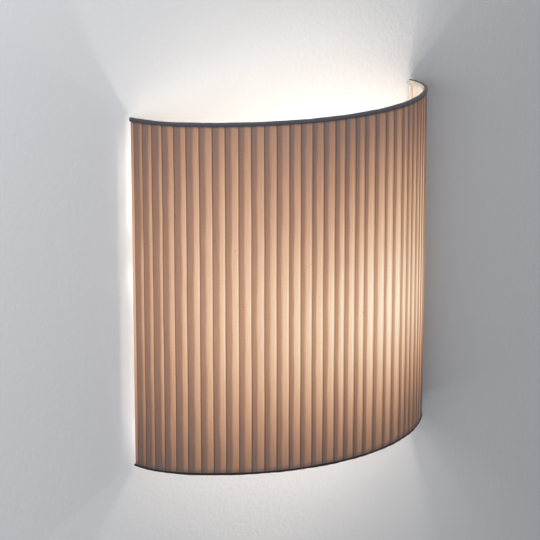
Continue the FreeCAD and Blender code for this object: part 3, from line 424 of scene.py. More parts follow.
class Bench:
    """Sets nodes into one tree and joins them."""

    def __init__(self, tree: bpy.types.NodeTree) -> None:
        """Takes the tree to work in."""
        self.tree = tree

    def feed(self, node: bpy.types.Node, feeds: dict[Union[str, int], Feed]) -> None:
        """Joins values to a node's sockets, or sets plain ones on them.

        Args:
            node: the node.
            feeds: for each socket's name or number, what it gets.
        """
        for name, value in feeds.items():
            target = node.inputs[name]
            if isinstance(value, Signal):
                self.tree.links.new(value.socket, target)
            else:
                target.default_value = (*value, 1.0) if target.type == "RGBA" else value

    def add(self, kind: str, feeds: dict[Union[str, int], Feed], out: Union[str, int] = 0,
            **settings: object) -> Signal:
        """Adds a node.

        Args:
            kind: its kind.
            feeds: for each socket's name or number, what it gets.
            out: which of its outputs is wanted.
            settings: its other settings.

        Returns:
            The wanted output.
        """
        node = self.tree.nodes.new("ShaderNode" + kind)
        for name, value in settings.items():
            setattr(node, name, value)
        self.feed(node, feeds)
        return Signal(self, node.outputs[out])

    def maths(self, how: str, *values: Feed, clamped: bool = False) -> Signal:
        """Result of an operation on up to three values."""
        return self.add("Math", dict(enumerate(values)), operation=how, use_clamp=clamped)

    def ranged(self, value: Feed, low: Feed, high: Feed, to_low: Feed = 0.0, to_high: Feed = 1.0,
               smooth: bool = True) -> Signal:
        """Maps a value from one range to another, held at the ends."""
        return self.add("MapRange", dict(enumerate((value, low, high, to_low, to_high))),
                        interpolation_type="SMOOTHSTEP" if smooth else "LINEAR")

    def mix(self, share: Feed, first: Feed, second: Feed) -> Signal:
        """Mix of two colours."""
        share_in, first_in, second_in, colour_out = 0, 6, 7, 2
        return self.add("Mix", {share_in: share, first_in: first, second_in: second}, colour_out,
                        data_type="RGBA")

    def ramp(self, value: Feed, stops: Sequence[tuple[float, Colour]]) -> Signal:
        """Colour from a row of colours, by a value from 0 to 1."""
        made = self.add("ValToRGB", {0: value})
        band = made.socket.node.color_ramp.elements
        while len(band) < len(stops):
            band.new(0.5)
        for element, (place, colour) in zip(band, stops):
            element.position, element.color = place, (*colour, 1.0)
        return made

    def read(self, name: str) -> Signal:
        """Value that the mesh carries under a name."""
        return self.add("Attribute", {}, "Fac", attribute_name=name)

    def own_place(self) -> Signal:
        """Place in the piece's own space."""
        return self.add("TexCoord", {}, "Object")

    def geometry(self, name: str) -> Signal:
        """What the surface tells about a point, such as its normal."""
        return self.add("NewGeometry", {}, name)

    def split(self, vector: Signal) -> tuple[Signal, Signal, Signal]:
        """The three values of a vector."""
        node = self.add("SeparateXYZ", {0: vector}).socket.node
        return tuple(Signal(self, out) for out in node.outputs)

    def joined(self, x: Feed, y: Feed, z: Feed) -> Signal:
        """Vector from three values."""
        return self.add("CombineXYZ", {0: x, 1: y, 2: z})

    def noise(self, place: Signal, scale: float, detail: float = 2.0, rough: float = 0.5) -> Signal:
        """Cloudy noise at a place."""
        feeds = {"Vector": place, "Scale": scale, "Detail": detail, "Roughness": rough}
        return self.add("TexNoise", feeds, "Fac")

    def relief(self, height: Signal, strength: float, distance: float) -> Signal:
        """Normal bent by a height."""
        return self.add("Bump", {"Strength": strength, "Distance": distance, "Height": height}, "Normal")


@dataclass(frozen=True)
class GlowPatch:
    """A soft patch of the lamp's light on the shade's front, in metres; a slope changes its height with x."""

    x: float
    z: float
    level: float
    left: float
    right: float
    up: float
    down: float
    up_slope: float = 0.0
    down_slope: float = 0.0
    least: float = 0.02

    def light(self, bench: Bench, x: Signal, z: Signal) -> Signal:
        """How strong the patch is at a place."""
        dx, dz = x - self.x, z - self.z
        wide = bench.maths("GREATER_THAN", dx, 0.0) * (self.right - self.left) + self.left
        above, below = dx * self.up_slope + self.up, dx * self.down_slope + self.down
        high = bench.maths("GREATER_THAN", dz, 0.0) * (above - below) + below
        across, up = dx / wide, dz / bench.maths("MAXIMUM", high, self.least)
        return bench.maths("EXPONENT", (across * across + up * up) * -1.0) * self.level


class EffectGroups:
    """The shared effects, each built once as a node group with named inputs and outputs."""

    GLOW_PATCHES = (
        GlowPatch(x=-0.093, z=-0.034, level=0.355, left=0.073, right=0.365, up=0.088, down=0.095,
                  up_slope=-0.232, down_slope=-0.194),
        GlowPatch(x=0.0865, z=0.0045, level=0.54, left=0.120, right=0.120, up=0.106, down=0.106),
        GlowPatch(x=-0.112, z=0.065, level=0.233, left=0.082, right=0.082, up=0.112, down=0.112),
    )

    def __init__(self) -> None:
        """Starts with none built."""
        self.built: dict[Effect, bpy.types.NodeTree] = {}
        self.makers = {Effect.GRAIN: self.fine_grain, Effect.WEAR: self.edge_wear,
                       Effect.DUST: self.settled_dust, Effect.THREADS: self.woven_threads,
                       Effect.GLOW: self.lamp_glow}

    def place(self, effect: Effect, bench: Bench, **inputs: Feed) -> dict[str, Signal]:
        """Puts an effect into a material.

        Args:
            effect: which one.
            bench: the material's bench.
            inputs: the effect's values there.

        Returns:
            Its outputs by name.
        """
        if effect not in self.built:
            self.built[effect] = self.makers[effect]()
        node = bench.tree.nodes.new("ShaderNodeGroup")
        node.node_tree = self.built[effect]
        bench.feed(node, inputs)
        return {out.name: Signal(bench, out) for out in node.outputs}

    @staticmethod
    def opened(effect: Effect, inputs: dict[str, float],
               outputs: Sequence[str]) -> tuple[Bench, dict[str, Signal], bpy.types.Node]:
        """Opens a new node group.

        Args:
            effect: what it is for.
            inputs: its inputs' names and first values.
            outputs: its outputs' names.

        Returns:
            Its bench, its inputs by name and the node that takes its outputs.
        """
        tree = bpy.data.node_groups.new(effect.value, "ShaderNodeTree")
        for name, start in inputs.items():
            socket = tree.interface.new_socket(name, in_out="INPUT", socket_type="NodeSocketFloat")
            socket.default_value = start
        for name in outputs:
            tree.interface.new_socket(name, in_out="OUTPUT", socket_type="NodeSocketFloat")
        bench = Bench(tree)
        entry, leave = tree.nodes.new("NodeGroupInput"), tree.nodes.new("NodeGroupOutput")
        return bench, {name: Signal(bench, entry.outputs[name]) for name in inputs}, leave

    def fine_grain(self) -> bpy.types.NodeTree:
        """Cloudy tone and fine relief of moulded, painted or sheet surfaces."""
        bench, entry, leave = self.opened(Effect.GRAIN, {"Scale": 1.0}, ("Tone", "Relief"))
        place = bench.add("VectorMath", {0: bench.own_place(), "Scale": entry["Scale"]}, operation="SCALE")
        broad_share, fine_share = 0.65, 0.35
        broad = bench.noise(place, scale=60.0, detail=3.0)
        fine = bench.noise(place, scale=1400.0, detail=3.0, rough=0.6)
        bench.feed(leave, {"Tone": broad * broad_share + fine * fine_share, "Relief": fine})
        return bench.tree

    def edge_wear(self) -> bpy.types.NodeTree:
        """Mask of rubbed outer edges."""
        bench, entry, leave = self.opened(Effect.WEAR, {"Amount": 1.0}, ("Mask",))
        edge = bench.ranged(bench.geometry("Pointiness"), low=0.52, high=0.62)
        broken = bench.ranged(bench.noise(bench.own_place(), scale=220.0, detail=3.0), low=0.35, high=0.65)
        bench.feed(leave, {"Mask": bench.maths("MULTIPLY", edge * broken, entry["Amount"], clamped=True)})
        return bench.tree

    def settled_dust(self) -> bpy.types.NodeTree:
        """Mask of dust on faces that look up."""
        bench, entry, leave = self.opened(Effect.DUST, {"Amount": 0.5}, ("Mask",))
        upward = bench.ranged(bench.split(bench.geometry("Normal"))[2], low=0.55, high=0.95)
        cloud = bench.ranged(bench.noise(bench.own_place(), scale=420.0, detail=4.0, rough=0.7), *CLOUD)
        bench.feed(leave, {"Mask": bench.maths("MULTIPLY", upward * cloud, entry["Amount"], clamped=True)})
        return bench.tree

    def woven_threads(self) -> bpy.types.NodeTree:
        """Plain weave with slubs: uneven tone, thread relief and a few dark flecks; in millimetres."""
        bench, entry, leave = self.opened(Effect.THREADS, {"Across": 0.0, "Up": 0.0, "Thread": 0.45},
                                          ("Tone", "Relief", "Fleck"))
        across, up = entry["Across"], entry["Up"]

        def drawn(by_across: float, by_up: float, layer: float) -> Signal:
            """Place for a pattern that is drawn out along the threads; layer sets it apart from others."""
            return bench.joined(across * by_across, up * by_up, layer)

        fine_share, broad_share, weft_share, cross_share, slub_height = 0.5, 0.3, 0.2, 0.35, 0.6
        fine = bench.noise(drawn(by_across=1.9, by_up=0.05, layer=3.0), scale=1.0)
        broad = bench.noise(drawn(by_across=0.6, by_up=0.016, layer=11.0), scale=1.0)
        weft = bench.noise(drawn(by_across=0.12, by_up=1.6, layer=23.0), scale=1.0)
        over, under = (bench.maths("SINE", run * FULL_TURN / entry["Thread"]) for run in (across, up))
        cross = over * under * cross_share + 0.5
        spots = {"Vector": drawn(by_across=0.09, by_up=0.045, layer=5.0), "Scale": 1.0}
        fleck = bench.add("TexVoronoi", spots, "Distance", feature="F1")
        bench.feed(leave, {"Tone": fine * fine_share + broad * broad_share + weft * weft_share,
                           "Relief": fine * slub_height + cross,
                           "Fleck": bench.ranged(fleck, low=0.022, high=0.05, to_low=1.0, to_high=0.0)})
        return bench.tree

    def lamp_glow(self) -> bpy.types.NodeTree:
        """How strongly the lamp behind lights a place on the shade, without unit."""
        bench, entry, leave = self.opened(Effect.GLOW, {"Level": 1.0}, ("Light",))
        x, _, z = bench.split(bench.geometry("Position"))
        first, second, third = (patch.light(bench, x, z) for patch in self.GLOW_PATCHES)
        bench.feed(leave, {"Light": (first + second + third) * entry["Level"]})
        return bench.tree


# ---- Finishes -----------------------------------------------------------------------------------
def tinted(colour: Colour, share: float) -> Colour:
    """A colour made darker or lighter."""
    return tuple(min(1.0, c * share) for c in colour)


@dataclass(frozen=True)
class Finish:
    """What every finish has: the material slot that it dresses."""

    slot: str

    def material(self, effects: EffectGroups) -> bpy.types.Material:
        """Builds the material."""
        made = bpy.data.materials.new(self.slot)
        made.use_nodes = True
        bench = Bench(made.node_tree)
        bench.feed(made.node_tree.nodes["Principled BSDF"], self.look(bench, effects))
        return made

    def look(self, bench: Bench, effects: EffectGroups) -> dict[str, Feed]:
        """What each of the shader's sockets gets."""
        raise NotImplementedError


@dataclass(frozen=True)
class CoatFinish(Finish):
    """Paint, powder coat, moulded plastic or unglazed ceramic."""

    colour: Colour = (0.8, 0.8, 0.8)
    worn: Colour = (0.7, 0.7, 0.7)
    dust_colour: Colour = (0.52, 0.49, 0.45)
    cloud_tint: float = 0.86
    rough: float = 0.45
    rough_spread: float = 0.16
    dust_rough: float = 0.4
    grain: float = 1.0
    relief: float = 0.15
    dust: float = 0.25
    wear: float = 0.5
    coat: float = 0.0

    def look(self, bench: Bench, effects: EffectGroups) -> dict[str, Feed]:
        """Cloudy tone, fine grain, rubbed edges and settled dust over one colour."""
        grain = effects.place(Effect.GRAIN, bench, Scale=self.grain)
        wear = effects.place(Effect.WEAR, bench, Amount=self.wear)["Mask"]
        dust = effects.place(Effect.DUST, bench, Amount=self.dust)["Mask"]
        cloud, dim = bench.ranged(grain["Tone"], *CLOUD), tinted(self.colour, self.cloud_tint)
        base = bench.mix(cloud, dim, self.colour)
        base = bench.mix(dust, bench.mix(wear, base, self.worn), self.dust_colour)
        rough = grain["Tone"] * self.rough_spread + (self.rough - self.rough_spread / 2)
        return {"Base Color": base, "Coat Weight": self.coat,
                "Roughness": bench.maths("MULTIPLY_ADD", dust, self.dust_rough, rough, clamped=True),
                "Normal": bench.relief(grain["Relief"], self.relief, distance=0.0003)}


@dataclass(frozen=True)
class MetalFinish(Finish):
    """Plated or bare metal with drawing marks and tarnish."""

    colour: Colour = (0.6, 0.6, 0.6)
    tarnish: Colour = (0.4, 0.4, 0.38)
    tarnish_spread: tuple[float, float] = (0.42, 0.66)
    bright_tint: float = 1.25
    rough: float = 0.32
    rough_spread: float = 0.3
    wear: float = 0.8

    def look(self, bench: Bench, effects: EffectGroups) -> dict[str, Feed]:
        """Cloudy tarnish, brighter edges and fine marks."""
        grain = effects.place(Effect.GRAIN, bench, Scale=1.0)
        wear = effects.place(Effect.WEAR, bench, Amount=self.wear)["Mask"]
        base = bench.mix(bench.ranged(grain["Tone"], *self.tarnish_spread), self.colour, self.tarnish)
        return {"Base Color": bench.mix(wear, base, tinted(self.colour, self.bright_tint)), "Metallic": 1.0,
                "Roughness": grain["Tone"] * self.rough_spread + (self.rough - self.rough_spread / 2),
                "Normal": bench.relief(grain["Relief"], strength=0.12, distance=0.0002)}


@dataclass(frozen=True)
class PleatClothFinish(Finish):
    """Taupe slub cloth in front of the lamp: bright in one layer, dark brown where three lie together.

    Lengths are in millimetres. The levels of light are shares of the light that comes through one layer.
    """

    base: Colour = (0.205, 0.179, 0.180)
    thread: float = 0.42
    sway: float = 2.4  # how far the hidden inner fold strays
    sway_along: float = 0.05
    sway_up: float = 0.022
    fold_blur: tuple[float, float] = (-0.9, 1.1)  # from three layers to one, about the inner fold
    line: float = 0.65  # the dark line right behind a pleat edge: less light through the tight fold, and painted crease shade in the base colour
    roll: tuple[float, float] = (-0.25, -0.05)  # where the rolled edge ends
    glint_width: tuple[float, float] = (0.3, 1.5)  # the bright line along the next pleat's edge
    glint: float = 0.22
    rise: tuple[float, float] = (0.90, 1.04)  # light of one layer, from the inner fold to the next edge
    tight_power: float = 1.8  # light of the dark line
    tight_level: float = 0.42
    loose_power: float = 1.2  # light of three layers, from the dark line to the inner fold
    loose_start: float = 1.2
    loose_levels: tuple[float, float] = (0.37, 0.48)
    slub_spread: tuple[float, float] = (0.32, 0.68)
    slub: tuple[float, float] = (0.88, 1.12)
    fleck: float = 0.45
    fleck_tint: float = 0.4
    # painted shade: how much darker the base colour is in the crease right behind a pleat edge
    crease_shade_tint: float = 0.72
    thread_tints: tuple[float, float] = (0.84, 1.12)
    rim: tuple[float, float] = (141.8, 145.2)  # heights over which the binding takes the light away
    rim_level: float = 0.45
    full_light: float = 0.8
    warmth: tuple[tuple[float, Colour], ...] = (
        (0.0, (0.0, 0.0, 0.0)), (0.0625, (0.135, 0.05, 0.014)), (0.16, (0.283, 0.128, 0.053)),
        (0.305, (0.484, 0.244, 0.121)), (0.514, (0.677, 0.411, 0.237)), (0.79, (0.841, 0.632, 0.434)),
        (1.0, (0.93, 0.80, 0.60)))

    def look(self, bench: Bench, effects: EffectGroups) -> dict[str, Feed]:
        """Threads and slubs, and the lamp's light through one or three layers."""
        past, tucked, pitch = (bench.read(name) for name in ("past_fold", "underlap", "pitch"))
        run, tone, soft = (bench.read(name) for name in ("cloth_run", "pleat_tone", "pleat_soft"))
        up = bench.split(bench.own_place())[2] * (1 / MM)
        threads = effects.place(Effect.THREADS, bench, Across=run, Up=up, Thread=self.thread)
        light = effects.place(Effect.GLOW, bench, Level=1.0)["Light"]
        roll = bench.ranged(past, *self.roll, 1.0, 0.0)
        opened = bench.ranged(past, self.line, self.line * 2.2)
        waver = bench.noise(bench.joined(run * self.sway_along, up * self.sway_up, 7.0), scale=1.0) - 0.5
        inner = waver * self.sway + tucked
        single = bench.maths("MAXIMUM", bench.ranged((past - inner) / soft, *self.fold_blur), roll)
        glint = bench.maths("MAXIMUM", bench.ranged(pitch - past, *self.glint_width, 1.0, 0.0), roll)
        rise = bench.ranged(past, tucked, pitch, *self.rise, smooth=False)
        one = light * rise * (glint * self.glint + 1.0) * tone
        tight = light ** self.tight_power * self.tight_level
        loose = light ** self.loose_power * bench.ranged(past, self.loose_start, tucked, *self.loose_levels,
                                                         smooth=False)
        three = loose * opened + tight * (1.0 - opened)
        slub = bench.ranged(threads["Tone"], *self.slub_spread, *self.slub, smooth=False)
        fleck = threads["Fleck"] * -self.fleck + 1.0
        rim = bench.ranged(abs(up), *self.rim, 1.0, self.rim_level)
        through = (one * single + three * (1.0 - single)) * slub * (fleck * rim)
        dim, bright = (tinted(self.base, share) for share in self.thread_tints)
        clear = bench.mix(bench.ranged(threads["Tone"], *CLOUD), dim, bright)
        # painted shade: the base colour is darker in the crease right behind each pleat edge, where the
        # rolled edge doesn't lie
        base = bench.mix(bench.maths("MAXIMUM", opened, roll), tinted(self.base, self.crease_shade_tint), clear)
        return {"Base Color": bench.mix(threads["Fleck"], base, tinted(self.base, self.fleck_tint)),
                "Emission Color": bench.ramp(through / self.full_light, self.warmth),
                "Emission Strength": 1.0, "Roughness": 0.92, "Specular IOR Level": 0.15,
                "Sheen Weight": 0.12, "Sheen Roughness": 0.5,
                "Normal": bench.relief(threads["Relief"], strength=0.35, distance=0.00018)}


@dataclass(frozen=True)
class TapeFinish(Finish):
    """Woven edge binding with a darker line where it turns over the rim."""

    colour: Colour = (0.122, 0.132, 0.160)
    edge: Colour = (0.075, 0.058, 0.052)
    edge_from: float = 0.80
    edge_blur: float = 0.05
    dust_colour: Colour = (0.30, 0.28, 0.26)
    thread: float = 0.5
    twill: float = 0.9
    rib_tints: tuple[float, float] = (0.78, 1.18)
    rib_height: float = 0.6
    thread_tint: float = 0.6
    thread_share: float = 0.3
    dust: float = 0.25
    height: float = 5.0

    def look(self, bench: Bench, effects: EffectGroups) -> dict[str, Feed]:
        """Slanting ribs, threads and the turned edge."""
        across, run = bench.read("tape_across"), bench.read("tape_run")
        up = across * self.height
        threads = effects.place(Effect.THREADS, bench, Across=run, Up=up, Thread=self.thread)
        dust = effects.place(Effect.DUST, bench, Amount=self.dust)["Mask"]
        rib = bench.maths("SINE", (run + up) * (FULL_TURN / self.twill)) * 0.5 + 0.5
        base = bench.mix(rib, *(tinted(self.colour, share) for share in self.rib_tints))
        threaded = bench.ranged(threads["Tone"], low=0.35, high=0.65, to_high=self.thread_share)
        base = bench.mix(threaded, base, tinted(self.colour, self.thread_tint))
        turned = bench.ranged(across, self.edge_from, self.edge_from + self.edge_blur)
        base = bench.mix(dust, bench.mix(turned, base, self.edge), self.dust_colour)
        height = rib * self.rib_height + threads["Relief"]
        return {"Base Color": base, "Roughness": 0.85, "Sheen Weight": 0.15, "Specular IOR Level": 0.2,
                "Normal": bench.relief(height, strength=0.4, distance=0.0002)}


@dataclass(frozen=True)
class LinerFinish(Finish):
    """Cream translucent sheet that the lamp makes glow."""

    colour: Colour = (0.88, 0.80, 0.70)
    cloud_tint: float = 0.94
    glow: tuple[tuple[float, Colour], ...] = (
        (0.0, (0.16, 0.13, 0.10)), (0.35, (0.34, 0.28, 0.21)), (1.0, (0.80, 0.68, 0.52)))

    def look(self, bench: Bench, effects: EffectGroups) -> dict[str, Feed]:
        """Cream sheet with a fibrous tone and some light of its own."""
        grain = effects.place(Effect.GRAIN, bench, Scale=0.6)
        light = effects.place(Effect.GLOW, bench, Level=1.0)["Light"]
        return {"Base Color": bench.mix(grain["Tone"], tinted(self.colour, self.cloud_tint), self.colour),
                "Emission Color": bench.ramp(light, self.glow), "Emission Strength": 0.68, "Roughness": 0.6,
                "Normal": bench.relief(grain["Relief"], strength=0.1, distance=0.0003)}


@dataclass(frozen=True)
class GlobeFinish(Finish):
    """Opal lamp globe, lit from inside and a little dimmer where it meets the housing."""

    dim: tuple[float, float] = (0.026, 0.050)
    dim_light: Colour = (0.75, 0.56, 0.38)
    full_light: Colour = (1.0, 0.93, 0.82)
    glass: tuple[Colour, Colour] = ((0.86, 0.84, 0.80), (0.92, 0.91, 0.88))

    def look(self, bench: Bench, effects: EffectGroups) -> dict[str, Feed]:
        """White diffuser with a soft fall of light."""
        grain = effects.place(Effect.GRAIN, bench, Scale=0.5)
        front = bench.ranged(bench.split(bench.own_place())[0], *self.dim)
        return {"Base Color": bench.mix(grain["Tone"], *self.glass), "Roughness": 0.3,
                "Emission Color": bench.mix(front, self.dim_light, self.full_light), "Emission Strength": 1.4}


@dataclass(frozen=True)
class InsulationFinish(Finish):
    """Wire insulation, plain or with a second colour wound round it."""

    colour: Colour = (0.1, 0.1, 0.1)
    cloud_tint: float = 0.85
    stripe: Optional[Colour] = None
    stripe_blur: tuple[float, float] = (-0.05, 0.05)
    slant: float = 1.6
    turns: float = 1500.0

    def look(self, bench: Bench, effects: EffectGroups) -> dict[str, Feed]:
        """Smooth plastic; the stripe follows the wire."""
        grain = effects.place(Effect.GRAIN, bench, Scale=1.5)
        cloud, dim = bench.ranged(grain["Tone"], *CLOUD), tinted(self.colour, self.cloud_tint)
        base = bench.mix(cloud, dim, self.colour)
        if self.stripe:
            x, _, z = bench.split(bench.own_place())
            wave = bench.maths("SINE", (x + z * self.slant) * self.turns)
            base = bench.mix(bench.ranged(wave, *self.stripe_blur), base, self.stripe)
        return {"Base Color": base, "Roughness": 0.4}


@dataclass
class Finishes:
    """All finishes of the light, by material slot."""

    effects: EffectGroups = field(default_factory=EffectGroups)
    made: dict[str, bpy.types.Material] = field(default_factory=dict)

    def choices(self) -> list[Finish]:
        """The finish of each slot."""
        return [
            PleatClothFinish("pleat_cloth"),
            LinerFinish("liner_sheet"),
            TapeFinish("top_binding"),
            # painted shade: the bottom binding is the same tape as the top one, given darker colours because
            # no light reaches it from below
            TapeFinish("bottom_binding", colour=(0.044, 0.037, 0.038), edge=(0.030, 0.024, 0.023),
                       edge_from=0.9),
            CoatFinish("white_wire", colour=(0.84, 0.77, 0.68), rough=0.4, coat=0.2, relief=0.1),
            GlobeFinish("opal"),
            CoatFinish("white_gloss", colour=(0.80, 0.80, 0.78), rough=0.28, coat=0.3, relief=0.05),
            CoatFinish("board", colour=(0.75, 0.75, 0.73), rough=0.5),
            MetalFinish("nickel", colour=(0.74, 0.71, 0.66), tarnish=(0.52, 0.49, 0.44), rough=0.25),
            CoatFinish("black_gloss", colour=(0.022, 0.022, 0.024), worn=(0.08, 0.08, 0.08), rough=0.2,
                       dust=0.4),
            CoatFinish("white_paint", colour=(0.80, 0.80, 0.775), worn=(0.55, 0.55, 0.54), rough=0.42,
                       grain=0.8, relief=0.35),
            CoatFinish("black_matte", colour=(0.03, 0.03, 0.032), worn=(0.10, 0.10, 0.10), rough=0.55,
                       dust=0.4),
            MetalFinish("zinc", colour=(0.62, 0.63, 0.64), tarnish=(0.42, 0.43, 0.42), rough=0.38),
            CoatFinish("white_matte", colour=(0.77, 0.76, 0.72), rough=0.5, relief=0.2),
            CoatFinish("steatite", colour=(0.80, 0.76, 0.68), worn=(0.7, 0.66, 0.58), rough=0.6, relief=0.4),
            MetalFinish("brass", colour=(0.72, 0.52, 0.22), tarnish=(0.42, 0.29, 0.13), rough=0.32),
            CoatFinish("clear_nylon", colour=(0.74, 0.74, 0.69), rough=0.38, relief=0.08, coat=0.2),
            MetalFinish("tin", colour=(0.70, 0.69, 0.66), tarnish=(0.5, 0.48, 0.45), rough=0.4),
            InsulationFinish("blue_wire", colour=(0.03, 0.11, 0.45)),
            InsulationFinish("brown_wire", colour=(0.14, 0.06, 0.025)),
            InsulationFinish("earth_wire", colour=(0.12, 0.32, 0.04), stripe=(0.72, 0.60, 0.04)),
        ]

    def build(self) -> None:
        """Builds every finish once."""
        for finish in self.choices():
            self.made[finish.slot] = finish.material(self.effects)

    def dress(self, piece: bpy.types.Object, slot: str) -> None:
        """Gives a piece one finish all over."""
        if piece.material_slots:
            for place in piece.material_slots:
                place.material = self.made[slot]
        else:
            piece.data.materials.append(self.made[slot])


@dataclass
class SubAssembly:
    """A group of pieces that ride on one body."""

    finishes: Finishes
    body: Body = Body.FIXED

    def fit(self, piece: bpy.types.Object, slot: str, *nodes: str) -> bpy.types.Object:
        """Dresses a piece, and lets it ride and stand for its nodes.

        Args:
            piece: the new object.
            slot: its material slot.
            nodes: the solids that it replaces.

        Returns:
            The piece.
        """
        self.finishes.dress(piece, slot)
        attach(piece, self.body.value)
        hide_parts(*nodes)
        LOG.info("%s on %s: %d faces", piece.name, self.body.value, len(piece.data.polygons))
        return piece


# ---- Shade --------------------------------------------------------------------------------------
@dataclass(frozen=True)
class ClothPoint:
    """A point on the cloth's line across one height."""

    along: float
    depth: float
    past: float
    pleat: int
    tucks: bool = True


@dataclass
class Shade(SubAssembly):
    """The lift-off shade: pleated cloth, edge bindings and ring wires."""

    body: Body = Body.SHADE
    plan: ArchPlan = field(default_factory=ArchPlan)
    height: float = 296.0
    cloth_height: float = 294.7
    cloth_rows: int = 38
    layer_step: float = 0.55  # from one layer of a fold to the next
    cloth_half: float = 0.175  # half the cloth's thickness
    puff: float = 0.28  # how far a face stands out
    puff_reach: float = 18.0  # distance from a rim over which the puff grows
    puff_start: float = 0.15  # the part of a half wave that a face follows
    puff_run: float = 0.6
    stray: float = 0.16  # how far a pleat edge strays
    step_start: float = 0.12  # where the single cloth leaves its fold, as a share of its width
    step_end: float = 0.75  # where it lies on the liner
    roll_gap: float = 0.2  # between a rolled edge and the layer on the liner
    fold_round: float = 0.9  # how round the inner folds are
    hidden: float = 0.5  # "past_fold" of the layers that don't show
    tuck_start: float = 0.4  # from a pleat edge to where its lowest layer starts
    face_start: float = 0.45  # from a pleat edge to its face
    meet: float = 0.3  # from the end of a pleat to the next edge
    hem: float = 1.6
    top_band: float = 3.2
    bottom_band: float = 2.1
    band_steps: int = 430
    sink: float = 0.40  # how far a tape sinks between two pleat edges
    first_sink: float = 0.3  # the same before the first edge
    sink_follow: float = 0.8
    tape_span: float = 1.9
    wire_depth: float = 3.55  # from the shade's outline to the middle of a wire
    wire_diameter: float = 2.5
    wire_steps: int = 140
    ring_inset: float = 2.6  # from a rim to the middle of a wire

    @cached_property
    def layout(self) -> PleatLayout:
        """The shade's pleats."""
        return PleatLayout(self.plan)

    @property
    def low(self) -> float:
        """Depth of the layer that lies on the liner."""
        return self.cloth_half + 2 * self.layer_step

    def pleat(self, index: int, edge: float, next_edge: float, lift: float) -> list[ClothPoint]:
        """One pleat's line from under the last fold's tuck to where it meets the next.

        Args:
            index: which pleat.
            edge: where its edge lies.
            next_edge: where the next one's lies.
            lift: how far its face puffs out.

        Returns:
            Points of the cloth.
        """
        tip, r = edge + self.layout.underlap(index), self.layer_step / 2
        low, mid, top = (self.cloth_half + self.layer_step * n for n in (2, 1, 0))

        def puffed(share: float) -> float:
            """Depth of the face at a share of its width."""
            return top - lift * math.sin(math.pi * (self.puff_start + self.puff_run * share))

        line = [(edge + self.tuck_start, low, self.hidden), (tip - 2 * r, low, self.hidden)]
        for turn in (45, 90, 135):
            a = math.radians(turn)
            fold = tip - r + r * math.sin(a) * self.fold_round
            line.append((fold, (low + mid) / 2 + r * math.cos(a), self.hidden))
        roll = (low - self.roll_gap - top) / 2
        line += [(tip - 2 * r, mid, self.hidden), ((edge + tip) / 2, mid, self.hidden),
                 (edge + 3 * roll, (mid + low) / 2, self.hidden),
                 (edge + roll, low - self.roll_gap, self.hidden)]
        for turn, past in ((40, -0.9), (75, -0.6), (110, -0.3), (145, 0.05)):
            a = math.radians(turn)
            line.append((edge + roll - roll * math.sin(a), top + roll + roll * math.cos(a), past))
        single = next_edge - tip
        leave, land = tip + self.step_start * single, tip + self.step_end * single
        for share in (0.0, 0.12, 0.3, 0.5, 0.75, 1.0):
            at = edge + self.face_start + (leave - edge - self.face_start) * share
            line.append((at, puffed(share), at - edge))
        for share in (0.2, 0.4, 0.6, 0.8, 1.0):
            at = leave + (land - leave) * share
            line.append((at, puffed(1.0) + (low - puffed(1.0)) * eased(0.0, 1.0, share), at - edge))
        line.append((next_edge - self.meet, low, next_edge - self.meet - edge))
        return [ClothPoint(*point, index) for point in line]

    def cloth(self) -> bpy.types.Object:
        """The whole skin as one strip, folded back on itself behind every pleat edge."""
        layout, count = self.layout, self.layout.count
        strays = [Wander(seed=100 + i, size=self.stray, length=150.0) for i in range(count + 1)]
        lifts = [Wander(seed=300 + i, size=0.10, length=190.0) for i in range(count)]
        chance = random.Random(7)
        tones = [chance.uniform(0.955, 1.045) for _ in range(count)]
        softness = [chance.uniform(0.6, 1.7) for _ in range(count)]
        pitches = [b - a for a, b in zip(layout.edges, layout.edges[1:])]
        skin, rows, runs = Skin("cloth_strip"), [], []
        names = ("past_fold", "underlap", "pitch", "cloth_run", "pleat_tone", "pleat_soft")
        skin.values = {name: [] for name in names}
        for z in spaced(-self.cloth_height / 2, self.cloth_height / 2, self.cloth_rows):
            held = eased(0.0, self.puff_reach, self.cloth_height / 2 - abs(z))
            edges = [e + strays[i].at(z) for i, e in enumerate(layout.edges)]
            edges[-1] = layout.edges[-1]
            line = [ClothPoint(0.0, self.low, pitches[0] - self.hem, 0, False),
                    ClothPoint(edges[0] - 0.1, self.low, pitches[0], 0, False)]
            for index in range(count):
                lift = held * (self.puff + lifts[index].at(z))
                line += self.pleat(index, edges[index], edges[index + 1], lift)
            line.append(ClothPoint(edges[-1], self.low, pitches[-1], count - 1))
            points = [self.plan.place(p.along, p.depth, z) for p in line]
            if not runs:
                runs = [0.0]
                for a, b in zip(points, points[1:]):
                    runs.append(runs[-1] + (b - a).length / MM)
            rows.append(points)
            skin.values["past_fold"] += [p.past for p in line]
            skin.values["underlap"] += [layout.underlap(p.pleat) if p.tucks else 0.0 for p in line]
            skin.values["pitch"] += [pitches[p.pleat] for p in line]
            skin.values["cloth_run"] += runs
            skin.values["pleat_tone"] += [tones[p.pleat] for p in line]
            skin.values["pleat_soft"] += [softness[p.pleat] for p in line]
        skin.lay_rows(rows)
        piece = self.fit(skin.build(closed=False), "pleat_cloth", "pleated_cloth")
        return piece

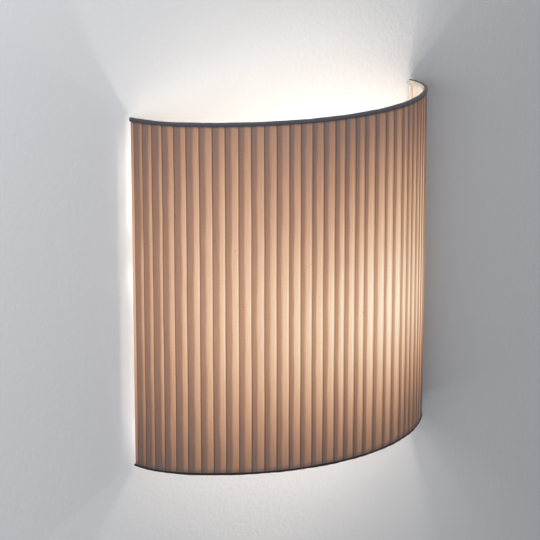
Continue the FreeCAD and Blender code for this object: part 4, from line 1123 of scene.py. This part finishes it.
    def binding(self, rim: Rim, band: float) -> bpy.types.Object:
        """Edge tape, folded over a rim.

        Args:
            rim: which rim.
            band: height of the band outside.

        Returns:
            The new object.
        """
        edges, way, name = self.layout.edges, rim.value, rim.name.lower()
        fall, crest = Wander(11 * way, size=0.20, length=90.0), Wander(29 * way, size=0.20, length=41.0)
        bulge = Wander(17 * way, size=0.10, length=23.0)
        section = [(-0.04, -band), (-0.26, -band - 0.05), (-0.42, -band + 0.35), (-0.48, -band * 0.55),
                   (-0.44, -band * 0.28), (-0.32, -0.2), (0.0, 0.0), (0.8, 0.04), (1.6, 0.0), (2.1, -0.1),
                   (2.36, -0.3), (2.34, -0.5), (2.12, -0.55)]
        rows, across, run = [], [], []
        for along in spaced(0.05, 2 * self.plan.half_length, self.band_steps):
            index = max(i for i in range(self.layout.count) if edges[i] <= max(along, self.layout.first))
            share = (along - edges[index]) / (edges[index + 1] - edges[index])
            sink = self.first_sink
            if share > 0:
                sink = self.sink * eased(0.35, 0.8, share) * (1 - eased(0.9, 0.99, share))
            row = []
            for number, (depth, z) in enumerate(section):
                outside = max(0.0, 1 - max(0.0, depth + 0.1) / 0.8)
                out = depth + outside * (sink * self.sink_follow + bulge.at(along))
                low = fall.at(along) if z < -band * 0.6 and depth < 0.5 else min(0.0, crest.at(along) - 0.1)
                row.append(self.plan.place(along, out, way * (self.height / 2 + z + low)))
                across.append(number / (len(section) - 1) * self.tape_span)
                run.append(along)
            rows.append(row)
        skin = Skin(name + "_tape")
        skin.values = {"tape_across": across, "tape_run": run}
        skin.lay_rows(rows, round_trip=True)
        return self.fit(skin.build(), name + "_binding", name + "_trim")

    def ring(self, rim: Rim) -> bpy.types.Object:
        """Dipped ring wire inside a rim."""
        z, name = rim.value * (self.height / 2 - self.ring_inset), rim.name.lower()
        path = [self.plan.place(a, self.wire_depth, z)
                for a in spaced(0.0, 2 * self.plan.half_length, self.wire_steps)]
        return self.fit(tube_along(name + "_wire", path, self.wire_diameter), "white_wire", name + "_ring")

    def build(self) -> None:
        """Makes every piece of the shade."""
        self.cloth()
        self.binding(Rim.TOP, self.top_band)
        self.binding(Rim.BOTTOM, self.bottom_band)
        for rim in Rim:
            self.ring(rim)


# ---- Lamp ---------------------------------------------------------------------------------------
@dataclass
class Lamp(SubAssembly):
    """The screw-in lamp; x counts from the holder's rear face."""

    body: Body = Body.LAMP
    axis: LampAxis = field(default_factory=LampAxis)
    core: float = 8.0
    cap_rear: float = 37.6
    cap_length: float = 22.5
    cap_diameter: float = 26.2
    cap_lip: float = 0.8
    cap_chamfer: float = 0.9
    cap_bevel: float = 0.2
    thread_pitch: float = 3.6
    thread_depth: float = 0.85
    thread_run_in: float = 1.5
    thread_run_out: float = 2.0
    neck_diameter: float = 28.0
    neck_length: float = 4.0
    neck_bevel: float = 0.3
    neck_rise: float = 1.2
    shoulder: float = 6.0
    bend: float = 3.0
    rim_land: float = 0.6
    rim_bevel: float = 0.4
    seam_gap: float = 0.1
    globe_centre: float = 112.5
    globe_diameter: float = 60.0
    opening: float = 54.0

    def cap(self, front: float) -> bpy.types.Object:
        """Threaded metal cap, up to a place on the axis."""
        rear, r, lip = self.cap_rear, self.cap_diameter / 2, self.cap_lip
        profile = [(rear, self.core), (rear, r - 2 * lip), (rear + lip, r - self.cap_chamfer)]
        profile += [(x, r) for x in spaced(rear + 2 * lip, front - lip, 56)]
        profile += [(front, r - self.cap_bevel), (front, self.core)]
        thread = Thread(self.thread_pitch, self.thread_depth, start=rear + self.thread_run_in,
                        end=front - self.thread_run_out)
        return self.fit(self.axis.turned("lamp_thread", profile, 48, thread), "nickel", "lamp_cap_shell")

    def housing(self, rear: float, seam: float) -> bpy.types.Object:
        """White housing between the cap and the globe's seam."""
        neck, rim, front = self.neck_diameter / 2, self.opening / 2, seam - self.seam_gap
        profile = [(rear, self.core), (rear, neck - self.neck_bevel), (rear + self.neck_rise, neck),
                   (rear + self.neck_length, neck), (seam - self.shoulder, rim), (seam - self.rim_land, rim),
                   (front, rim - self.rim_bevel), (front, self.core)]
        made = self.axis.turned("lamp_body", softened(profile, self.bend))
        return self.fit(made, "white_gloss", "lamp_housing")

    def globe(self, seam: float) -> bpy.types.Object:
        """Opal globe, which lets the light inside it out."""
        r = self.globe_diameter / 2
        first = math.asin(self.opening / 2 / r)
        ball = [(self.globe_centre - r * math.cos(a), r * math.sin(a)) for a in spaced(first, math.pi, 30)]
        made = self.fit(self.axis.turned("opal_globe", [(seam, self.core)] + ball), "opal", "lamp_globe")
        made.visible_shadow = False
        return made

    def build(self) -> None:
        """Makes the threaded cap, the housing and the globe."""
        front = self.cap_rear + self.cap_length
        seam = self.globe_centre - math.sqrt((self.globe_diameter / 2) ** 2 - (self.opening / 2) ** 2)
        self.cap(front)
        self.housing(front, seam)
        self.globe(seam)


# ---- Fixed part ---------------------------------------------------------------------------------
@dataclass
class WallPart(SubAssembly):
    """The pieces that stay on the wall."""

    axis: LampAxis = field(default_factory=LampAxis)
    lead_diameter: float = 2.0
    nipple_rear: float = -8.0
    nipple_front: float = 6.0
    nipple_radius: float = 5.0
    nipple_bore: float = 3.5
    nipple_bevel: float = 0.3
    nipple_chamfer: float = 0.4

    def lead(self, name: str, slot: str, node: str, points: Sequence[Place]) -> None:
        """One internal wire on a smooth line.

        Args:
            name: the piece's name.
            slot: its material slot.
            node: the solid that it replaces.
            points: the route's corners.
        """
        bend = bpy.data.curves.new(name + "_line", "CURVE")
        bend.dimensions = "3D"
        spline = bend.splines.new("NURBS")
        spline.points.add(len(points) - 1)
        for target, point in zip(spline.points, points):
            target.co = (*(Vector(point) * MM), 1.0)
        spline.order_u, spline.use_endpoint_u, spline.resolution_u = 3, True, 14
        holder = bpy.data.objects.new(name + "_line", bend)
        bpy.context.scene.collection.objects.link(holder)
        line = bpy.data.meshes.new_from_object(holder)
        path = [v.co.copy() for v in line.vertices]
        bpy.data.objects.remove(holder)
        self.fit(tube_along(name, path, self.lead_diameter), slot, node)

    def leads(self) -> None:
        """The three internal wires, from the lampholder or the plate to the terminal block."""
        self.lead("neutral_wire", "blue_wire", "neutral_lead",
                  [(-54.5, -50, -17.52), (-62, -50, -22.4), (-105, -50, -22.4), (-105, -8.5, 14),
                   (-42, -8.5, 14)])
        self.lead("live_wire", "brown_wire", "live_lead",
                  [(-54.5, -50, -30.48), (-62, -50, -25.6), (-105, -50, -25.6), (-105, -8.5, 4),
                   (-42, -8.5, 4)])
        self.lead("earth_wire", "earth_wire", "earth_lead",
                  [(-67, -3.9, 14.6), (-60, -3.9, 14.6), (-54, -8.5, 24), (-42, -8.5, 24)])

    def nipple(self) -> None:
        """Threaded tube that holds the lampholder; its profile runs round to the bore again."""
        rear, front, r, bore = self.nipple_rear, self.nipple_front, self.nipple_radius, self.nipple_bore
        bevel, chamfer = self.nipple_bevel, self.nipple_chamfer
        profile = softened([(rear, bore), (rear, r - bevel), (rear + chamfer, r)], radius=0.1)
        profile += [(x, r) for x in spaced(rear + 0.6, front - chamfer, 90)]
        profile += [(front, r - bevel), (front, bore), (rear, bore)]
        thread = Thread(pitch=1.0, depth=0.3, start=rear + chamfer, end=front - chamfer / 2)
        self.fit(self.axis.turned("nipple_thread", profile, 40, thread), "zinc", "holder_nipple")

    def build(self) -> None:
        """Makes the wires and the threaded nipple."""
        self.leads()
        self.nipple()


# ---- Room ---------------------------------------------------------------------------------------
@dataclass(frozen=True)
class RoomLight:
    """One light, in metres, watts and degrees; an area light has an aim, and a height if it isn't square."""

    name: str
    kind: LightKind
    place: Place
    power: float
    colour: Colour
    size: float
    aim: Optional[Place] = None
    height: float = 0.0
    spread: float = 180.0

    def build(self, receivers: Sequence[bpy.types.Object], blockers: Sequence[bpy.types.Object] = ()) -> None:
        """Adds the light.

        Args:
            receivers: the objects that it falls on.
            blockers: what casts its shadow; everything, if none is given.
        """
        data = bpy.data.lights.new(self.name, self.kind.value)
        data.energy, data.color = self.power, self.colour
        made = bpy.data.objects.new(self.name, data)
        made.location = self.place
        if self.kind is LightKind.POINT:
            data.shadow_soft_size = self.size
        else:
            data.size, data.spread = self.size, math.radians(self.spread)
            made.rotation_euler = (Vector(self.aim) - Vector(self.place)).to_track_quat("-Z", "Y").to_euler()
        if self.height:
            data.shape, data.size_y = "RECTANGLE", self.height
        bpy.context.scene.collection.objects.link(made)
        for role, objects in (("receiver", receivers), ("blocker", blockers)):
            if objects:
                group = bpy.data.collections.new(self.name + "_" + role)
                for item in objects:
                    group.objects.link(item)
                setattr(made.light_linking, role + "_collection", group)


@dataclass
class Studio:
    """Plain wall, pale floor, soft lights, the lamp's light and the camera; all in metres and degrees."""

    wall_y: float = 0.0006
    wall_reach: float = 3.0
    wall_top: float = 2.2
    plate: tuple[float, float] = (0.098, 0.046)
    floor_z: float = -2.4
    floor_near: tuple[float, float] = (-6.0, -7.0)
    floor_far: tuple[float, float] = (6.0, 5.0)
    globe: Place = (0.0435, -0.050, -0.024)
    cool: Colour = (0.95, 0.97, 1.0)
    warm: Colour = (1.0, 0.94, 0.88)
    inner_colour: Colour = (1.0, 0.86, 0.70)
    slit_colour: Colour = (1.0, 0.97, 0.93)
    sky: Colour = (0.93, 0.96, 1.0)
    sky_strength: float = 0.183
    camera_place: Place = (-1.2233, -1.5796, 0.5061)
    camera_down: float = 14.29
    camera_right: float = 37.644
    sensor: float = 36.0
    lens: float = 160.0

    def paint(self, name: str, colour: Colour, bumpy: float, see_through: bool) -> bpy.types.Material:
        """Rolled paint on a surface of the room.

        Args:
            name: its name.
            colour: its colour.
            bumpy: strength of the roller's texture.
            see_through: whether its back doesn't show.

        Returns:
            The material.
        """
        made = bpy.data.materials.new(name)
        made.use_nodes = True
        tree = made.node_tree
        bench, shader = Bench(tree), tree.nodes["Principled BSDF"]
        place = bench.own_place()
        peel = bench.noise(place, scale=260.0) + bench.noise(place, scale=70.0) * 0.8
        tone = bench.noise(place, scale=9.0, detail=3.0)
        bench.feed(shader, {"Base Color": bench.mix(tone, tinted(colour, 0.97), colour), "Roughness": 0.85,
                            "Specular IOR Level": 0.2, "Normal": bench.relief(peel, bumpy, distance=0.002)})
        if see_through:
            hidden = bench.geometry("Backfacing") * bench.add("LightPath", {}, "Is Camera Ray")
            clear = bench.add("BsdfTransparent", {})
            mixed = bench.add("MixShader", {0: hidden, 1: Signal(bench, shader.outputs[0]), 2: clear})
            bench.feed(tree.nodes["Material Output"], {"Surface": mixed})
        return made

    @staticmethod
    def corners(near: tuple[float, float], far: tuple[float, float]) -> list[tuple[float, float]]:
        """The four corners of a rectangle."""
        return [(near[0], near[1]), (far[0], near[1]), (far[0], far[1]), (near[0], far[1])]

    def wall(self) -> bpy.types.Object:
        """The wall, open behind the back plate so that the plate's rear face gets light."""
        hole_x, hole_z = self.plate
        skin = Skin("room_wall")
        skin.points = [Vector((x, self.wall_y, z)) for x, z in
                       self.corners((-self.wall_reach, self.floor_z), (self.wall_reach, self.wall_top))
                       + self.corners((-hole_x, -hole_z), (hole_x, hole_z))]
        skin.faces = [(i, (i + 1) % 4, (i + 1) % 4 + 4, i + 4) for i in range(4)]
        made = skin.build(closed=False)
        made.data.materials.append(self.paint("wall_paint", (0.80, 0.805, 0.82), 0.12, see_through=True))
        return made

    def floor(self) -> bpy.types.Object:
        """Pale floor, far below the light."""
        skin = Skin("room_floor")
        skin.points = [Vector((x, y, self.floor_z)) for x, y in self.corners(self.floor_near, self.floor_far)]
        skin.faces = [(0, 1, 2, 3)]
        made = skin.build(closed=False)
        made.data.materials.append(self.paint("floor_paint", (0.72, 0.71, 0.69), 0.05, see_through=False))
        return made

    def camera(self) -> None:
        """Camera at the photograph's place."""
        data = bpy.data.cameras.new("view")
        data.sensor_width, data.lens = self.sensor, self.lens
        data.clip_start, data.clip_end = 0.05, 30.0
        made = bpy.data.objects.new("view", data)
        made.location = self.camera_place
        made.rotation_euler = (math.radians(90 - self.camera_down), 0.0, math.radians(-self.camera_right))
        bpy.context.scene.collection.objects.link(made)
        bpy.context.scene.camera = made

    def world(self) -> None:
        """Even, faint light from all round."""
        made = bpy.data.worlds.new("room")
        made.use_nodes = True
        Bench(made.node_tree).feed(made.node_tree.nodes["Background"],
                                   {"Color": self.sky, "Strength": self.sky_strength})
        bpy.context.scene.world = made

    def lights(self, wall: bpy.types.Object, floor: bpy.types.Object) -> None:
        """Soft lights on the room and on the pieces, and the lamp's light on both."""
        room, middle = [wall, floor], (0.0, 0.0, 0.0)
        pieces = [o for o in bpy.data.objects if o.type == "MESH" and o not in room]
        RoomLight("window", LightKind.AREA, (-1.5, -1.1, 0.15), 17.6, self.cool, 1.0, middle).build(room)
        RoomLight("softbox", LightKind.AREA, (-0.35, -0.80, 0.95), 9.2, self.cool, 0.5, middle).build(pieces)
        RoomLight("overhead", LightKind.POINT, (-0.45, -0.5, 0.8), 10.6, self.cool, 0.25).build(room, [floor])
        for name, place, power in (("lamp_on_wall", self.globe, 0.62),
                                   ("right_glow_on_wall", (0.100, -0.036, -0.020), 1.12),
                                   ("left_glow_on_wall", (-0.035, -0.075, -0.013), 0.93)):
            RoomLight(name, LightKind.POINT, place, power, self.warm, 0.012).build(room)
        RoomLight("lamp_inside", LightKind.POINT, self.globe, 0.03, self.inner_colour, 0.028).build(pieces)
        slit = RoomLight("slit_light", LightKind.AREA, (-0.100, -0.0152, 0.0), 0.017, self.slit_colour, 0.004,
                         aim=(-0.156, -0.0005, 0.0), height=0.26, spread=50.0)
        slit.build([wall], [bpy.data.objects["cloth_strip"]])

    def build(self) -> None:
        """Sets up the room."""
        self.camera()
        wall, floor = self.wall(), self.floor()
        self.world()
        self.lights(wall, floor)
        bpy.context.scene.view_settings.view_transform = "Standard"


def dress_solids(finishes: Finishes) -> None:
    """Gives every carried-over solid the finish of its slot."""
    slots = {part["node"]: part["material_slot"] for part in frame["record"]["subparts"]}
    for name, solid in frame["nodes"].items():
        finishes.dress(solid, slots[name])
        LOG.info("%s: %s", name, slots[name])


def main() -> None:
    """Builds the light's looks and the room round it."""
    logging.basicConfig(level=logging.INFO, format="%(message)s")
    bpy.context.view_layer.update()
    finishes = Finishes()
    finishes.build()
    dress_solids(finishes)
    for group in (Shade(finishes), Lamp(finishes), WallPart(finishes)):
        group.build()
    Studio().build()


if __name__ == "__main__":
    main()
